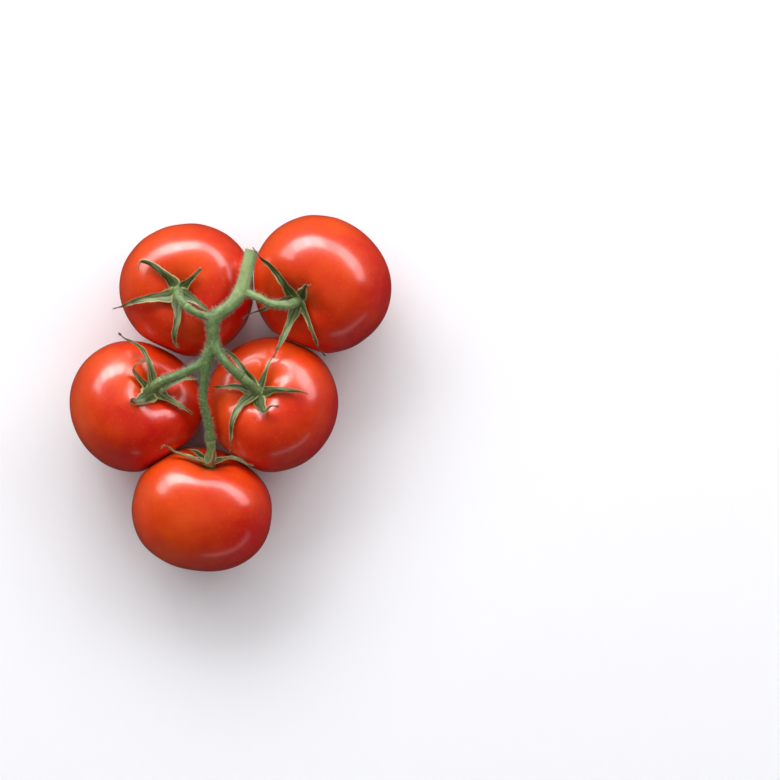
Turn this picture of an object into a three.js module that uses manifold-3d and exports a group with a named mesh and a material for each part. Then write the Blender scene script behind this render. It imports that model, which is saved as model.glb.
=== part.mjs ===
// A truss of five ripe tomatoes, cut from its plant and lying on a table.
//
// Millimetres, +Z up. Seen from straight above, +X is right and +Y is towards the cut end of
// the stalk. The origin is on the table, under the middle of the truss.
//
// The pieces are what grew, or parts, as one: the stalk, with its five side stalks as far as
// their knuckles; five calyces, each with the short stalk end beyond its knuckle, a receptacle
// and its sepals; and five tomatoes, each resting on the table.

import * as THREE from 'three';
import { mergeVertices } from 'three/addons/utils/BufferGeometryUtils.js';
import Module from 'manifold-3d';

const wasm = await Module();
wasm.setup();

// Sizes that all the pieces share

const GAP = 0.35; // air between two pieces that touch
const STEM_SIDES = 10;
const STEM_STEP = 2.2; // length of one facet along a stem

// The receptacle is the green knob in the dimple that the sepals grow from. Its outline is a list
// of [radius, height over the bottom of the dimple]: the first keeps its edge clear of the skin.

const RECEPTACLE = [[2.5, 1], [3.3, 1.6], [3, 2.6], [1.6, 3.2]];
const RECEPTACLE_SIDES = 10;

const SEPAL_THICKNESS = 0.7;
const SEPAL_STEPS = 8;
const SEPAL_TIP_WIDTH = 0.9;
const SEPAL_ROOT = 1.2; // distance from the stem axis at which a sepal starts, in the receptacle
const SEPAL_TAPER = { root: 1.1, power: 0.85 }; // see sepalTaper

// The tomatoes' common form: a flattened round body with a dimple at the stem

const FRUIT = {
  stemFullness: 2.35, // 2 is an ellipse; more gives broader shoulders
  baseFullness: 2.1,
  dimpleReach: 9.5,
  ribReach: 13, // distance from the stem axis at which the shoulder ribs are strongest
  ribSpread: 7,
  shoulderReach: 24.5, // the same for a one-sided shoulder
  shoulderSpread: 9.9,
  shoulderFade: 6, // more than 6 lets a one-sided shoulder run further down the belly
  scarDepth: 0.8, // the shallow hollow at the blossom end
  scarReach: 6,
  rimShare: 0.9, // share of the radius past which the skin's height is taken as level
  settled: 0.6, // height of the round base that the flat resting spot takes away
  segments: 36,
  rings: 22,
  ringCrowding: 1.25, // more than 1 draws the rings together round the stem
};

// Each tomato: its greatest radius, its half height as a share of that, the depth of its dimple,
// where it stands, how far its stem axis leans and towards what compass angle (0 is +X, 90 is
// +Y), its out-of-round lobes as [count, share, angle], the ribs of its shoulder as [count,
// height, angle] and a one-sided shoulder as [height, angle].

const TOMATOES = {
  top_left: {
    radius: 31.1, flatness: 0.87, dimple: 6, at: [-19.9, 48.4], tilt: 9, toward: 218,
    lobes: [[2, 0.008, -22], [3, 0.015, 45]], ribs: [5, 0.25, 20], shoulder: [0, 0],
  },
  top_right: {
    radius: 32.2, flatness: 0.86, dimple: 6, at: [42.6, 50.6], tilt: 35, toward: 221,
    lobes: [[2, 0.019, -42], [3, 0.012, -6]], ribs: [5, 0.3, 95], shoulder: [0, 0],
  },
  mid_left: {
    radius: 30.6, flatness: 0.87, dimple: 6, at: [-44.4, -6.4], tilt: 37, toward: 38,
    lobes: [[2, 0.016, -28], [3, 0.018, 7]], ribs: [5, 0.3, -60], shoulder: [0, 0],
  },
  mid_right: {
    radius: 31, flatness: 0.87, dimple: 6, at: [19.4, -5.4], tilt: 22, toward: 134,
    lobes: [[2, 0.01, 90], [3, 0.006, 28]], ribs: [6, 0.5, 62], shoulder: [0, 0],
  },
  end: {
    radius: 30.9, flatness: 0.9, dimple: 5.4, at: [-13.4, -54.2], tilt: 66, toward: 79,
    lobes: [[2, 0.047, 167], [3, 0.033, 88]], ribs: [5, 0.2, 0], shoulder: [1.3, 207],
  },
};

// Where neighbours touch: the plane between them stands across the line of their middles, at
// this reach from the middle of the one that keeps its roundness. Both are pressed flat there.

const CONTACTS = [
  { round: 'top_left', pressed: 'mid_left', reach: 29.6 },
  { round: 'top_left', pressed: 'top_right', reach: 30.8 },
  { round: 'top_right', pressed: 'mid_right', reach: 29.8 },
  { round: 'end', pressed: 'mid_left', reach: 29.4 },
  { round: 'end', pressed: 'mid_right', reach: 29.2 },
];
const PRESS_SOFTNESS = 1.6; // how gradually the round skin runs into a pressed flat

// Stems, as [x, y, z, thickness] along their middles. Each runs to its knuckle, and from there
// to its fruit. The stalk's own main stem is the one that ends at the end tomato.

const STEMS = {
  end: {
    toKnuckle: [
      [11.4, 65, 57, 5.9], [10, 59, 57, 5.7], [6.5, 46.6, 56, 6.5], [1.6, 39.7, 56.8, 5.7],
      [-5.6, 34, 57, 6.4], [-6.4, 27, 56, 5.4], [-6.3, 22.4, 55, 6], [-9.9, 13.4, 53.5, 6.2],
      [-10.8, 4, 52, 3.9], [-11.2, -3, 50, 3.6], [-9.3, -12, 47.5, 3.5], [-8.1, -21.8, 44.5, 4.3],
    ],
    toFruit: [[-8, -27, 42.7, 4.1], [-8.6, -31.8, 40, 4.4]],
  },
  top_left: {
    toKnuckle: [[-4.4, 33.6, 57, 4.4], [-12.9, 36.1, 58, 3.2], [-18.6, 39.6, 58.2, 3.9]],
    toFruit: [[-21.4, 43, 56.4, 4.6], [-22.6, 46, 50, 4.9]],
  },
  top_right: {
    toKnuckle: [[5.6, 46.8, 56, 5], [13.8, 43.6, 56, 3.5], [20, 40.6, 55.5, 3.5], [27.6, 40, 53.8, 4.3]],
    toFruit: [[30.4, 41, 51.6, 4.9], [32.2, 42, 48.6, 4.6]],
  },
  mid_left: {
    toKnuckle: [
      [-9.4, 14.4, 53.5, 5], [-16.1, 10.8, 54.5, 4], [-22, 8.1, 54.5, 4.2], [-28.8, 5.6, 53.4, 4.7],
    ],
    toFruit: [[-32.2, 3.8, 51.4, 5], [-34, 1.8, 47, 4.8]],
  },
  mid_right: {
    toKnuckle: [[-6.2, 24, 55, 4.8], [-3.1, 17.5, 57, 3.9], [1.4, 12.1, 58, 3.8], [6.9, 7.1, 56.9, 4.5]],
    toFruit: [[10.7, 3.6, 54.4, 4.4], [13.4, 0.9, 49.8, 4.6]],
  },
};

// A bud that dried up early has left a small stub on the stalk, as [x, y, z, thickness].

const BUD_STUB = [[-6.6, 33, 57, 2.2], [-8.6, 31.2, 58, 1.7], [-9.2, 30.4, 58.2, 1.2]];

// Sepals. Each point is [angle round the stem, distance from the stem axis, lift over the
// skin]. A fold over 0 makes a trough, one under 0 a ridge. A twist turns the blade on its way
// to the tip.

const SEPALS = {
  top_left: [
    { width: 4.4, fold: -0.25, twist: 0,
      along: [[116, 4.7, 1.7], [127, 12.5, 2.5], [134, 19, 4], [139, 21.5, 6], [148, 19.5, 8]] },
    { width: 3.4, fold: 0.2, twist: 0,
      along: [[42, 4.4, 1.7], [41, 10.5, 2.5], [42, 15.5, 4.5], [41, 17.2, 6.5]] },
    { width: 5.2, fold: 0.45, twist: 0,
      along: [[-155, 4, 1.7], [-167, 11, 2.2], [-168, 18, 2.6], [-166, 28, 3.5], [-166, 32.5, 5]] },
    { width: 4.4, fold: 0.4, twist: 0,
      along: [[-88, 5, 1.7], [-88, 12.5, 2], [-94, 19, 2.2], [-93, 24, 2.7], [-90, 25.7, 4]] },
    { width: 4.6, fold: 0.4, twist: 0,
      along: [[-15, 4, 1.7], [-23, 10.3, 2], [-28, 15.4, 1.8], [-31, 18, 1.6]] },
  ],
  top_right: [
    { width: 5, fold: 0.2, twist: 25,
      along: [[112, 4.9, 2.6], [107, 12.6, 3.9], [114, 20.6, 6.8], [117, 27.2, 14.7], [116, 32.7, 20]] },
    { width: 3.8, fold: 0.3, twist: 0,
      along: [[150, 3.5, 2.6], [171, 8.4, 3.6], [-173, 14.4, 5], [-169, 20.7, 9.3], [-166, 26, 15]] },
    { width: 4.6, fold: 0.35, twist: -20,
      along: [[-106, 3.3, 2.9], [-104, 9.6, 6.2], [-105, 15.2, 10.6], [-105, 19, 16.4], [-103, 20.6, 20.5]] },
    { width: 3.6, fold: 0.35, twist: 0,
      along: [[-31, 3, 1.8], [-49, 10.5, 2], [-61, 17.7, 2.2], [-70, 24.6, 3.4], [-68, 28.1, 6.4]] },
    { width: 4.4, fold: -0.5, twist: 0,
      along: [[60, 4.3, 2.7], [53, 10, 4.2], [52, 14.6, 5.6], [50, 16, 3.4]] },
  ],
  mid_left: [
    { width: 4.2, fold: 0.3, twist: 15,
      along: [
        [119, 3.5, 2.6], [116, 10.4, 3.8], [116, 17.5, 5.2], [122, 22.6, 7.9], [127, 26.6, 11.6],
        [130, 30, 15.5],
      ] },
    { width: 3.6, fold: -0.2, twist: 0,
      along: [[173, 3.9, 2], [160, 10.5, 3], [157, 14.1, 5], [148, 14.1, 7], [132, 12.4, 8]] },
    { width: 7.6, fold: -0.05, twist: 0,
      along: [[-134, 4.8, 2.5], [-138, 10.7, 2.8], [-141, 14.3, 3], [-148, 17, 4], [-141, 18.8, 5]] },
    { width: 4.6, fold: 0.3, twist: 0,
      along: [[-60, 4.5, 2.2], [-51, 9, 2.4], [-42, 13.8, 2.4], [-37, 18.4, 3], [-33, 21.2, 3.5]] },
    { width: 3.8, fold: 0.35, twist: 0,
      along: [[2, 3.2, 2.4], [9, 6, 4.6], [13, 10.8, 6], [10, 15.8, 8], [6, 19.1, 9.8]] },
  ],
  mid_right: [
    { width: 3.8, fold: 0.25, twist: 20,
      along: [[118, 3.3, 2.8], [120, 11.5, 5.4], [124, 18, 8.4], [128, 22, 11], [132, 23.4, 13]] },
    { width: 3, fold: 0.3, twist: 0,
      along: [[49, 3.6, 1.8], [57, 10.6, 3], [60, 15, 3], [62, 17.2, 2.6]] },
    { width: 3.8, fold: -0.2, twist: 0,
      along: [[-3, 4, 1.7], [-3, 11.8, 2.5], [-4, 17, 3], [-4, 21.3, 4], [-5, 24.8, 4.5]] },
    { width: 5.2, fold: -0.15, twist: 0,
      along: [[-75, 3.9, 1.7], [-66, 9.2, 2.2], [-60, 12.9, 4], [-46, 13.2, 6], [-36, 16.6, 7]] },
    { width: 4.6, fold: 0.35, twist: 0,
      along: [[-133, 3.6, 1.7], [-130, 11, 2], [-124, 18.2, 2.2], [-119, 24.5, 2.2], [-116, 30.5, 2.5]] },
    { width: 3.8, fold: 0.25, twist: 0,
      along: [[169, 4.5, 1.8], [170, 9.3, 2.5], [175, 15.7, 3], [172, 23.5, 3]] },
  ],
  end: [
    { width: 4.2, fold: 0.35, twist: 0,
      along: [[-150, 3, 1.8], [-164, 9.2, 1.8], [-171, 17, 3.9], [-170, 22.2, 9.4], [-167, 24, 9.6]] },
    { width: 6, fold: 0.15, twist: 0,
      along: [[156, 3, 1.8], [156, 7, 3], [160, 11.2, 3]] },
    { width: 5, fold: 0.3, twist: 70,
      along: [[-62, 3, 2.2], [-82, 6.8, 9], [-89, 9.4, 15]] },
    { width: 4.2, fold: 0.3, twist: 0,
      along: [[-11, 3.2, 1.9], [-10, 8.8, 3.4], [-16, 14, 3.9], [-19, 19, 4.8], [-18, 20.8, 6.2]] },
    { width: 4.6, fold: 0.3, twist: 0,
      along: [[80, 4, 1.8], [81, 10, 2], [81, 15, 2.2]] },
  ],
};

// Colours

const SKIN = { color: 0xd42a0c, roughness: 0.25, metalness: 0 };
const CALYX_GREEN = { color: 0x4f7a35, roughness: 0.7, metalness: 0 };
const STALK_GREEN = { color: 0x86a85f, roughness: 0.7, metalness: 0 };

// Small helpers

const radians = THREE.MathUtils.degToRad;

function bell(distance, spread) {
  return Math.exp(-((distance / spread) ** 2));
}

// One ring of points, each made from the cosine and the sine of its angle
function circle(sides, pointAt) {
  return Array.from({ length: sides }, (_, index) => {
    const angle = (index / sides) * 2 * Math.PI;
    return pointAt(Math.cos(angle), Math.sin(angle));
  });
}

// Solids

function toSolid(geometry) {
  const mesh = new wasm.Mesh({
    numProp: 3,
    vertProperties: new Float32Array(geometry.attributes.position.array),
    triVerts: new Uint32Array(geometry.index.array),
  });
  return new wasm.Manifold(mesh);
}

function toGeometry(solid) {
  const mesh = solid.getMesh();
  const geometry = new THREE.BufferGeometry();
  geometry.setAttribute('position', new THREE.BufferAttribute(mesh.vertProperties, 3));
  geometry.setIndex(new THREE.BufferAttribute(mesh.triVerts, 1));
  geometry.computeVertexNormals();
  return geometry;
}

function joinAll(solids) {
  return solids.reduce((whole, piece) => whole.add(piece));
}

// A closed solid through rings of points, all with the same count. Columns from `lowerFrom` on
// are split along the other diagonal, so that the two faces of a thin blade match.
function loft(rings, lowerFrom = Infinity) {
  const count = rings[0].length;
  const points = rings.flat();
  const triangles = [];
  for (let row = 0; row < rings.length - 1; row += 1) {
    for (let column = 0; column < count; column += 1) {
      const next = (column + 1) % count;
      const [a, b] = [row * count + column, row * count + next];
      const [c, d] = [a + count, b + count];
      if (column < lowerFrom) triangles.push(a, b, d, a, d, c);
      else triangles.push(a, b, c, b, d, c);
    }
  }
  for (const [row, turned] of [[0, true], [rings.length - 1, false]]) {
    const middle = points.length;
    const centre = new THREE.Vector3();
    rings[row].forEach((point) => centre.addScaledVector(point, 1 / count));
    points.push(centre);
    for (let column = 0; column < count; column += 1) {
      const a = row * count + column;
      const b = row * count + ((column + 1) % count);
      if (turned) triangles.push(b, a, middle);
      else triangles.push(a, b, middle);
    }
  }
  const geometry = new THREE.BufferGeometry().setFromPoints(points);
  geometry.setIndex(triangles);
  return toSolid(geometry);
}

// A curve through points, with a second value that runs along it
function path(points) {
  const curve = new THREE.CatmullRomCurve3(points.map(([x, y, z]) => new THREE.Vector3(x, y, z)));
  const value = (at) => {
    const place = at * (points.length - 1);
    const before = Math.min(Math.floor(place), points.length - 2);
    return THREE.MathUtils.lerp(points[before][3], points[before + 1][3], place - before);
  };
  return { curve, value };
}

// Directions across a curve at evenly spaced stations, turning no more than the curve does
function stations(curve, from, to, steps, firstUp) {
  const list = [];
  let up = firstUp.clone();
  for (let step = 0; step <= steps; step += 1) {
    const at = THREE.MathUtils.lerp(from, to, step / steps);
    const forward = curve.getTangent(at);
    up = up.clone().addScaledVector(forward, -up.dot(forward)).normalize();
    const side = new THREE.Vector3().crossVectors(forward, up);
    list.push({ at, middle: curve.getPoint(at), forward, up, side });
  }
  return list;
}

function tube({ curve, value }, from, to) {
  const steps = Math.max(3, Math.round((curve.getLength() * (to - from)) / STEM_STEP));
  const rings = stations(curve, from, to, steps, new THREE.Vector3(0, 0, 1)).map(
    ({ at, middle, up, side }) => circle(STEM_SIDES, (cosine, sine) => middle.clone()
      .addScaledVector(side, (-cosine * value(at)) / 2)
      .addScaledVector(up, (sine * value(at)) / 2)),
  );
  return loft(rings);
}

// The form of a tomato

function outOfRound(tomato, angle) {
  return tomato.lobes.reduce(
    (sum, [count, share, at]) => sum + share * Math.cos(count * (angle - radians(at))), 1);
}

// How far the stem end stands over or under the plain round body
function stemRelief(tomato, out, angle) {
  const [ribCount, ribHeight, ribAngle] = tomato.ribs;
  const [shoulderHeight, shoulderAngle] = tomato.shoulder;
  const share = Math.min(out / (tomato.radius * outOfRound(tomato, angle)), 1);
  return -tomato.dimple * bell(out, FRUIT.dimpleReach)
    + ribHeight * Math.cos(ribCount * (angle - radians(ribAngle)))
      * bell(out - FRUIT.ribReach, FRUIT.ribSpread)
    + shoulderHeight * Math.cos(angle - radians(shoulderAngle))
      * bell(out - FRUIT.shoulderReach, FRUIT.shoulderSpread) * (1 - share ** FRUIT.shoulderFade);
}

// A point of the skin at an angle round the stem axis, and at an angle down from the stem
function skinPoint(tomato, angle, fromStem) {
  const nearStem = fromStem < Math.PI / 2;
  const power = 2 / (nearStem ? FRUIT.stemFullness : FRUIT.baseFullness);
  const out = tomato.radius * Math.sin(fromStem) ** power * outOfRound(tomato, angle);
  const height = tomato.radius * tomato.flatness * Math.abs(Math.cos(fromStem)) ** power;
  const relief = nearStem ? stemRelief(tomato, out, angle) : -FRUIT.scarDepth * bell(out, FRUIT.scarReach);
  const up = (nearStem ? 1 : -1) * (height + relief);
  return new THREE.Vector3(out * Math.cos(angle), out * Math.sin(angle), up);
}

// The skin's height along the stem axis, at an angle round it and a distance from it
function skinHeight(tomato, angle, out) {
  const share = Math.min(out / (tomato.radius * outOfRound(tomato, angle)), FRUIT.rimShare);
  const body = (1 - share ** FRUIT.stemFullness) ** (1 / FRUIT.stemFullness);
  return tomato.radius * tomato.flatness * body + stemRelief(tomato, out, angle);
}

function roundSkin(tomato) {
  const geometry = new THREE.SphereGeometry(1, FRUIT.segments, FRUIT.rings);
  geometry.deleteAttribute('normal');
  geometry.deleteAttribute('uv');
  geometry.rotateX(Math.PI / 2);
  const skin = mergeVertices(geometry);
  const places = skin.attributes.position;
  const point = new THREE.Vector3();
  for (let index = 0; index < places.count; index += 1) {
    point.fromBufferAttribute(places, index);
    const share = Math.acos(THREE.MathUtils.clamp(point.z, -1, 1)) / Math.PI;
    const fromStem = Math.PI * share ** FRUIT.ringCrowding;
    point.copy(skinPoint(tomato, Math.atan2(point.y, point.x), fromStem));
    places.setXYZ(index, point.x, point.y, point.z);
  }
  return skin;
}

// Leans a tomato's stem axis over and sets its middle at the height at which it rests
function settle(tomato) {
  const sideways = radians(tomato.toward);
  const hinge = new THREE.Vector3(-Math.sin(sideways), Math.cos(sideways), 0);
  const lean = new THREE.Quaternion().setFromAxisAngle(hinge, radians(tomato.tilt));
  const skin = roundSkin(tomato).applyQuaternion(lean);
  skin.computeBoundingBox();
  const middle = new THREE.Vector3(...tomato.at, -skin.boundingBox.min.z - FRUIT.settled);
  return { ...tomato, lean, middle, skin: skin.translate(...middle.toArray()) };
}

// Moves a point that is past a plane back to it, and eases the skin in just before it
function press(point, plane) {
  const past = plane.distanceToPoint(point);
  const ease = Math.max(PRESS_SOFTNESS - Math.abs(past), 0) / PRESS_SOFTNESS;
  const kept = Math.min(past, 0) - (ease * ease * PRESS_SOFTNESS) / 4;
  point.addScaledVector(plane.normal, kept - past);
}

function contactPlanes(name, tomatoes) {
  return CONTACTS.filter((contact) => [contact.round, contact.pressed].includes(name)).map((contact) => {
    const from = tomatoes[contact.round].middle;
    const normal = tomatoes[contact.pressed].middle.clone().sub(from).normalize();
    const turn = name === contact.round ? 1 : -1;
    const point = from.clone().addScaledVector(normal, contact.reach - (turn * GAP) / 2);
    return new THREE.Plane().setFromNormalAndCoplanarPoint(normal.multiplyScalar(turn), point);
  });
}

// Everything under the table's level, as a solid to cut away
function underTable(tomato) {
  const size = 4 * tomato.radius;
  const block = new THREE.BoxGeometry(size, size, size);
  block.deleteAttribute('normal');
  block.deleteAttribute('uv');
  block.translate(tomato.middle.x, tomato.middle.y, -size / 2);
  return toSolid(mergeVertices(block));
}

function tomatoSolid(name, tomatoes) {
  const { skin } = tomatoes[name];
  const places = skin.attributes.position;
  const point = new THREE.Vector3();
  for (const plane of contactPlanes(name, tomatoes)) {
    for (let index = 0; index < places.count; index += 1) {
      press(point.fromBufferAttribute(places, index), plane);
      places.setXYZ(index, point.x, point.y, point.z);
    }
  }
  return toSolid(skin).subtract(underTable(tomatoes[name]));
}

// The calyx

function overSkin(tomato, [angle, out, lift]) {
  const turn = radians(angle);
  const up = skinHeight(tomato, turn, out) + lift;
  const point = new THREE.Vector3(out * Math.cos(turn), out * Math.sin(turn), up);
  return point.applyQuaternion(tomato.lean).add(tomato.middle);
}

function receptacle(tomato) {
  const bottom = skinHeight(tomato, 0, 0);
  const rings = RECEPTACLE.map(([radius, lift]) => circle(RECEPTACLE_SIDES, (cosine, sine) => {
    const point = new THREE.Vector3(radius * cosine, radius * sine, bottom + lift);
    return point.applyQuaternion(tomato.lean).add(tomato.middle);
  }));
  return loft(rings);
}

// A sepal's width along its length, as a share of its full width: widest at the root
function sepalTaper(at) {
  return SEPAL_TAPER.root * (1 - at) ** SEPAL_TAPER.power;
}

// A thin blade of six-sided section, folded along its middle
function sepal(tomato, { width, fold, twist, along }) {
  const root = [along[0][0], SEPAL_ROOT, along[0][2]];
  const curve = new THREE.CatmullRomCurve3([root, ...along].map((place) => overSkin(tomato, place)));
  const axis = new THREE.Vector3(0, 0, 1).applyQuaternion(tomato.lean);
  const rings = stations(curve, 0, 1, SEPAL_STEPS, axis).map(({ at, middle, forward, up, side }) => {
    const half = Math.max(width * sepalTaper(at), SEPAL_TIP_WIDTH) / 2;
    const turn = radians(twist) * at;
    const across = side.clone().applyAxisAngle(forward, turn);
    const over = up.clone().applyAxisAngle(forward, turn);
    const corner = (sideways, thickness) => middle.clone()
      .addScaledVector(across, sideways * half)
      .addScaledVector(over, fold * Math.abs(sideways) * half + thickness / 2);
    return [
      corner(-1, SEPAL_THICKNESS), corner(0, SEPAL_THICKNESS), corner(1, SEPAL_THICKNESS),
      corner(1, -SEPAL_THICKNESS), corner(0, -SEPAL_THICKNESS), corner(-1, -SEPAL_THICKNESS),
    ];
  });
  return loft(rings, 3);
}

// A stem's whole run, with the two ends of the gap at its knuckle
function wholeStem({ toKnuckle, toFruit }) {
  const run = path([...toKnuckle, ...toFruit]);
  const knuckle = (toKnuckle.length - 1) / (toKnuckle.length + toFruit.length - 1);
  const nearby = 0.01; // share of the curve over which its speed is measured
  const stretch = run.curve.getPoint(knuckle + nearby).distanceTo(run.curve.getPoint(knuckle - nearby));
  const halfGap = (GAP * nearby) / stretch;
  return { run, before: knuckle - halfGap, after: knuckle + halfGap };
}

function calyxSolid(name, tomatoes) {
  const { run, after } = wholeStem(STEMS[name]);
  const sepals = SEPALS[name].map((blade) => sepal(tomatoes[name], blade));
  return joinAll([receptacle(tomatoes[name]), tube(run, after, 1), ...sepals]);
}

// The stalk

function stalkSolid() {
  const stems = Object.values(STEMS).map((stem) => {
    const { run, before } = wholeStem(stem);
    return tube(run, 0, before);
  });
  return joinAll([...stems, tube(path(BUD_STUB), 0, 1)]);
}

// The truss

function piece(name, solid, finish) {
  const mesh = new THREE.Mesh(toGeometry(solid), new THREE.MeshStandardMaterial(finish));
  mesh.name = name;
  return mesh;
}

function truss() {
  const group = new THREE.Group();
  const tomatoes = Object.fromEntries(
    Object.entries(TOMATOES).map(([name, tomato]) => [name, settle(tomato)]));
  group.add(piece('stalk', stalkSolid(), STALK_GREEN));
  for (const name of Object.keys(TOMATOES)) {
    group.add(piece(`calyx_${name}`, calyxSolid(name, tomatoes), CALYX_GREEN));
    group.add(piece(`tomato_${name}`, tomatoSolid(name, tomatoes), SKIN));
  }
  return group;
}

export default truss();
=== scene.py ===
# A truss of five ripe tomatoes, lying on a table: the fine skins, calyces, stalk and hairs that
# stand for its solids, their materials, and a plain studio round them.
#
# The truss's sizes are in millimetres until a mesh is made, and repeat those of the solids, so that
# each piece lies where its solid does. Seen from straight above, +X is right and +Y is towards the
# cut end of the stalk.

import math

import bpy
import numpy as np
from mathutils import Matrix, Vector
from mathutils.kdtree import KDTree


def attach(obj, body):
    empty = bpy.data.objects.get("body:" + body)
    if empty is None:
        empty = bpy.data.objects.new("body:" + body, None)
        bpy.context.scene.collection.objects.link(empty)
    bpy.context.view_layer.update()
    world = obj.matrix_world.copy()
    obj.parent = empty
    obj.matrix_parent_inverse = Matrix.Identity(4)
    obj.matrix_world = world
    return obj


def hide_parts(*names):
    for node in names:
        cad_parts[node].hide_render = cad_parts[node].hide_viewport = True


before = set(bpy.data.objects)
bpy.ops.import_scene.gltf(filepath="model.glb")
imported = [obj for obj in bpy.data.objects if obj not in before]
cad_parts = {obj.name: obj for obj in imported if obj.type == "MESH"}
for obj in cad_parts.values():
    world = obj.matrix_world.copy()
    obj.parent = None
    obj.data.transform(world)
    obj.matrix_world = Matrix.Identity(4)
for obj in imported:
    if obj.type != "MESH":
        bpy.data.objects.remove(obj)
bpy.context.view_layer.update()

bl_info = {
    "name": "Tomato truss",
    "version": (1, 0, 0),
    "blender": (4, 5, 0),
    "location": "3D View > Sidebar > Truss",
    "description": "Makes the fruit, calyces and stalk of a truss of tomatoes, and a studio for it",
    "category": "Add Mesh",
}

MM = 0.001
BODY = "root"

# Sizes that the fruit, the calyces and the stalk share

GAP = 0.35  # air between two solids that touch
KNUCKLE_LAP = 0.5  # how far the two sides of a knuckle run into each other
PRESS_SOFTNESS = 1.6  # how gradually a round skin runs into a pressed flat

# The tomatoes' common form: a flattened round body with a dimple at the stem

STEM_FULLNESS = 2.35  # 2 is an ellipse, and more gives broader shoulders
BASE_FULLNESS = 2.1
DIMPLE_REACH = 9.5
RIB_REACH = 13
RIB_SPREAD = 7
SHOULDER_REACH = 24.5
SHOULDER_SPREAD = 9.9
SHOULDER_FADE = 6  # more than 6 lets a one-sided shoulder run further down the belly
SCAR_DEPTH = 0.8
SCAR_REACH = 6
RIM_SHARE = 0.9
SETTLED = 0.6  # height of the round base that the flat resting spot takes away

# Each tomato: its greatest radius, its half height as a share of that, the depth of its dimple,
# where it stands, how far its stem axis leans and towards what compass angle, its out-of-round
# lobes as (count, share, angle), its shoulder ribs as (count, height, angle), a one-sided
# shoulder as (height, angle), the fine pleats round its dimple as (count, height), how ripe it
# is, and how dark its sepals' tips have dried.

TOMATOES = {
    "top_left": {
        "radius": 31.1, "flatness": 0.87, "dimple": 6, "at": (-19.9, 48.4), "tilt": 9, "toward": 218,
        "lobes": [(2, 0.008, -22), (3, 0.015, 45)], "ribs": (5, 0.25, 20), "shoulder": (0, 0),
        "pleats": (9, 0.08), "ripeness": 0.58, "dried": 0.3,
    },
    "top_right": {
        "radius": 32.2, "flatness": 0.86, "dimple": 6, "at": (42.6, 50.6), "tilt": 35, "toward": 221,
        "lobes": [(2, 0.019, -42), (3, 0.012, -6)], "ribs": (5, 0.3, 95), "shoulder": (0, 0),
        "pleats": (8, 0.1), "ripeness": 0.55, "dried": 0.85,
    },
    "mid_left": {
        "radius": 30.6, "flatness": 0.87, "dimple": 6, "at": (-44.4, -6.4), "tilt": 37, "toward": 38,
        "lobes": [(2, 0.016, -28), (3, 0.018, 7)], "ribs": (5, 0.3, -60), "shoulder": (0, 0),
        "pleats": (10, 0.03), "ripeness": 0.6, "dried": 0.4,
    },
    "mid_right": {
        "radius": 31, "flatness": 0.87, "dimple": 6, "at": (19.4, -5.4), "tilt": 22, "toward": 134,
        "lobes": [(2, 0.01, 90), (3, 0.006, 28)], "ribs": (6, 0.5, 62), "shoulder": (0, 0),
        "pleats": (11, 0.12), "ripeness": 0.47, "dried": 0.4,
    },
    "end": {
        "radius": 30.9, "flatness": 0.9, "dimple": 5.4, "at": (-13.4, -54.2), "tilt": 66, "toward": 79,
        "lobes": [(2, 0.047, 167), (3, 0.033, 88)], "ribs": (5, 0.2, 0), "shoulder": (1.3, 207),
        "pleats": (8, 0.06), "ripeness": 0.48, "dried": 0,
    },
}

# Where neighbours touch: the one that keeps its roundness, the one that is pressed flat, and how
# far from the middle of the first the plane between them stands.

CONTACTS = [
    ("top_left", "mid_left", 29.6),
    ("top_left", "top_right", 30.8),
    ("top_right", "mid_right", 29.8),
    ("end", "mid_left", 29.4),
    ("end", "mid_right", 29.2),
]

# Stems, as (x, y, z, thickness) along their middles: first the run to the knuckle, then the run
# on to the fruit. The main stem is the one that ends at the end tomato.

STEMS = {
    "end": (
        [
            (11.4, 65, 57, 5.9), (10, 59, 57, 5.7), (6.5, 46.6, 56, 6.5), (1.6, 39.7, 56.8, 5.7),
            (-5.6, 34, 57, 6.4), (-6.4, 27, 56, 5.4), (-6.3, 22.4, 55, 6), (-9.9, 13.4, 53.5, 6.2),
            (-10.8, 4, 52, 3.9), (-11.2, -3, 50, 3.6), (-9.3, -12, 47.5, 3.5), (-8.1, -21.8, 44.5, 4.3),
        ],
        [(-8, -27, 42.7, 4.1), (-8.6, -31.8, 40, 4.4)],
    ),
    "top_left": (
        [(-4.4, 33.6, 57, 4.4), (-12.9, 36.1, 58, 3.2), (-18.6, 39.6, 58.2, 3.9)],
        [(-21.4, 43, 56.4, 4.6), (-22.6, 46, 50, 4.9)],
    ),
    "top_right": (
        [(5.6, 46.8, 56, 5), (13.8, 43.6, 56, 3.5), (20, 40.6, 55.5, 3.5), (27.6, 40, 53.8, 4.3)],
        [(30.4, 41, 51.6, 4.9), (32.2, 42, 48.6, 4.6)],
    ),
    "mid_left": (
        [(-9.4, 14.4, 53.5, 5), (-16.1, 10.8, 54.5, 4), (-22, 8.1, 54.5, 4.2), (-28.8, 5.6, 53.4, 4.7)],
        [(-32.2, 3.8, 51.4, 5), (-34, 1.8, 47, 4.8)],
    ),
    "mid_right": (
        [(-6.2, 24, 55, 4.8), (-3.1, 17.5, 57, 3.9), (1.4, 12.1, 58, 3.8), (6.9, 7.1, 56.9, 4.5)],
        [(10.7, 3.6, 54.4, 4.4), (13.4, 0.9, 49.8, 4.6)],
    ),
}
BUD_STUB = [(-6.6, 33, 57, 2.2), (-8.6, 31.2, 58, 1.7), (-9.2, 30.4, 58.2, 1.2)]

# The green knob in the dimple, as (radius, height over the bottom of the dimple)

RECEPTACLE = [(2.5, 1), (3.3, 1.6), (3, 2.6), (1.6, 3.2)]

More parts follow.
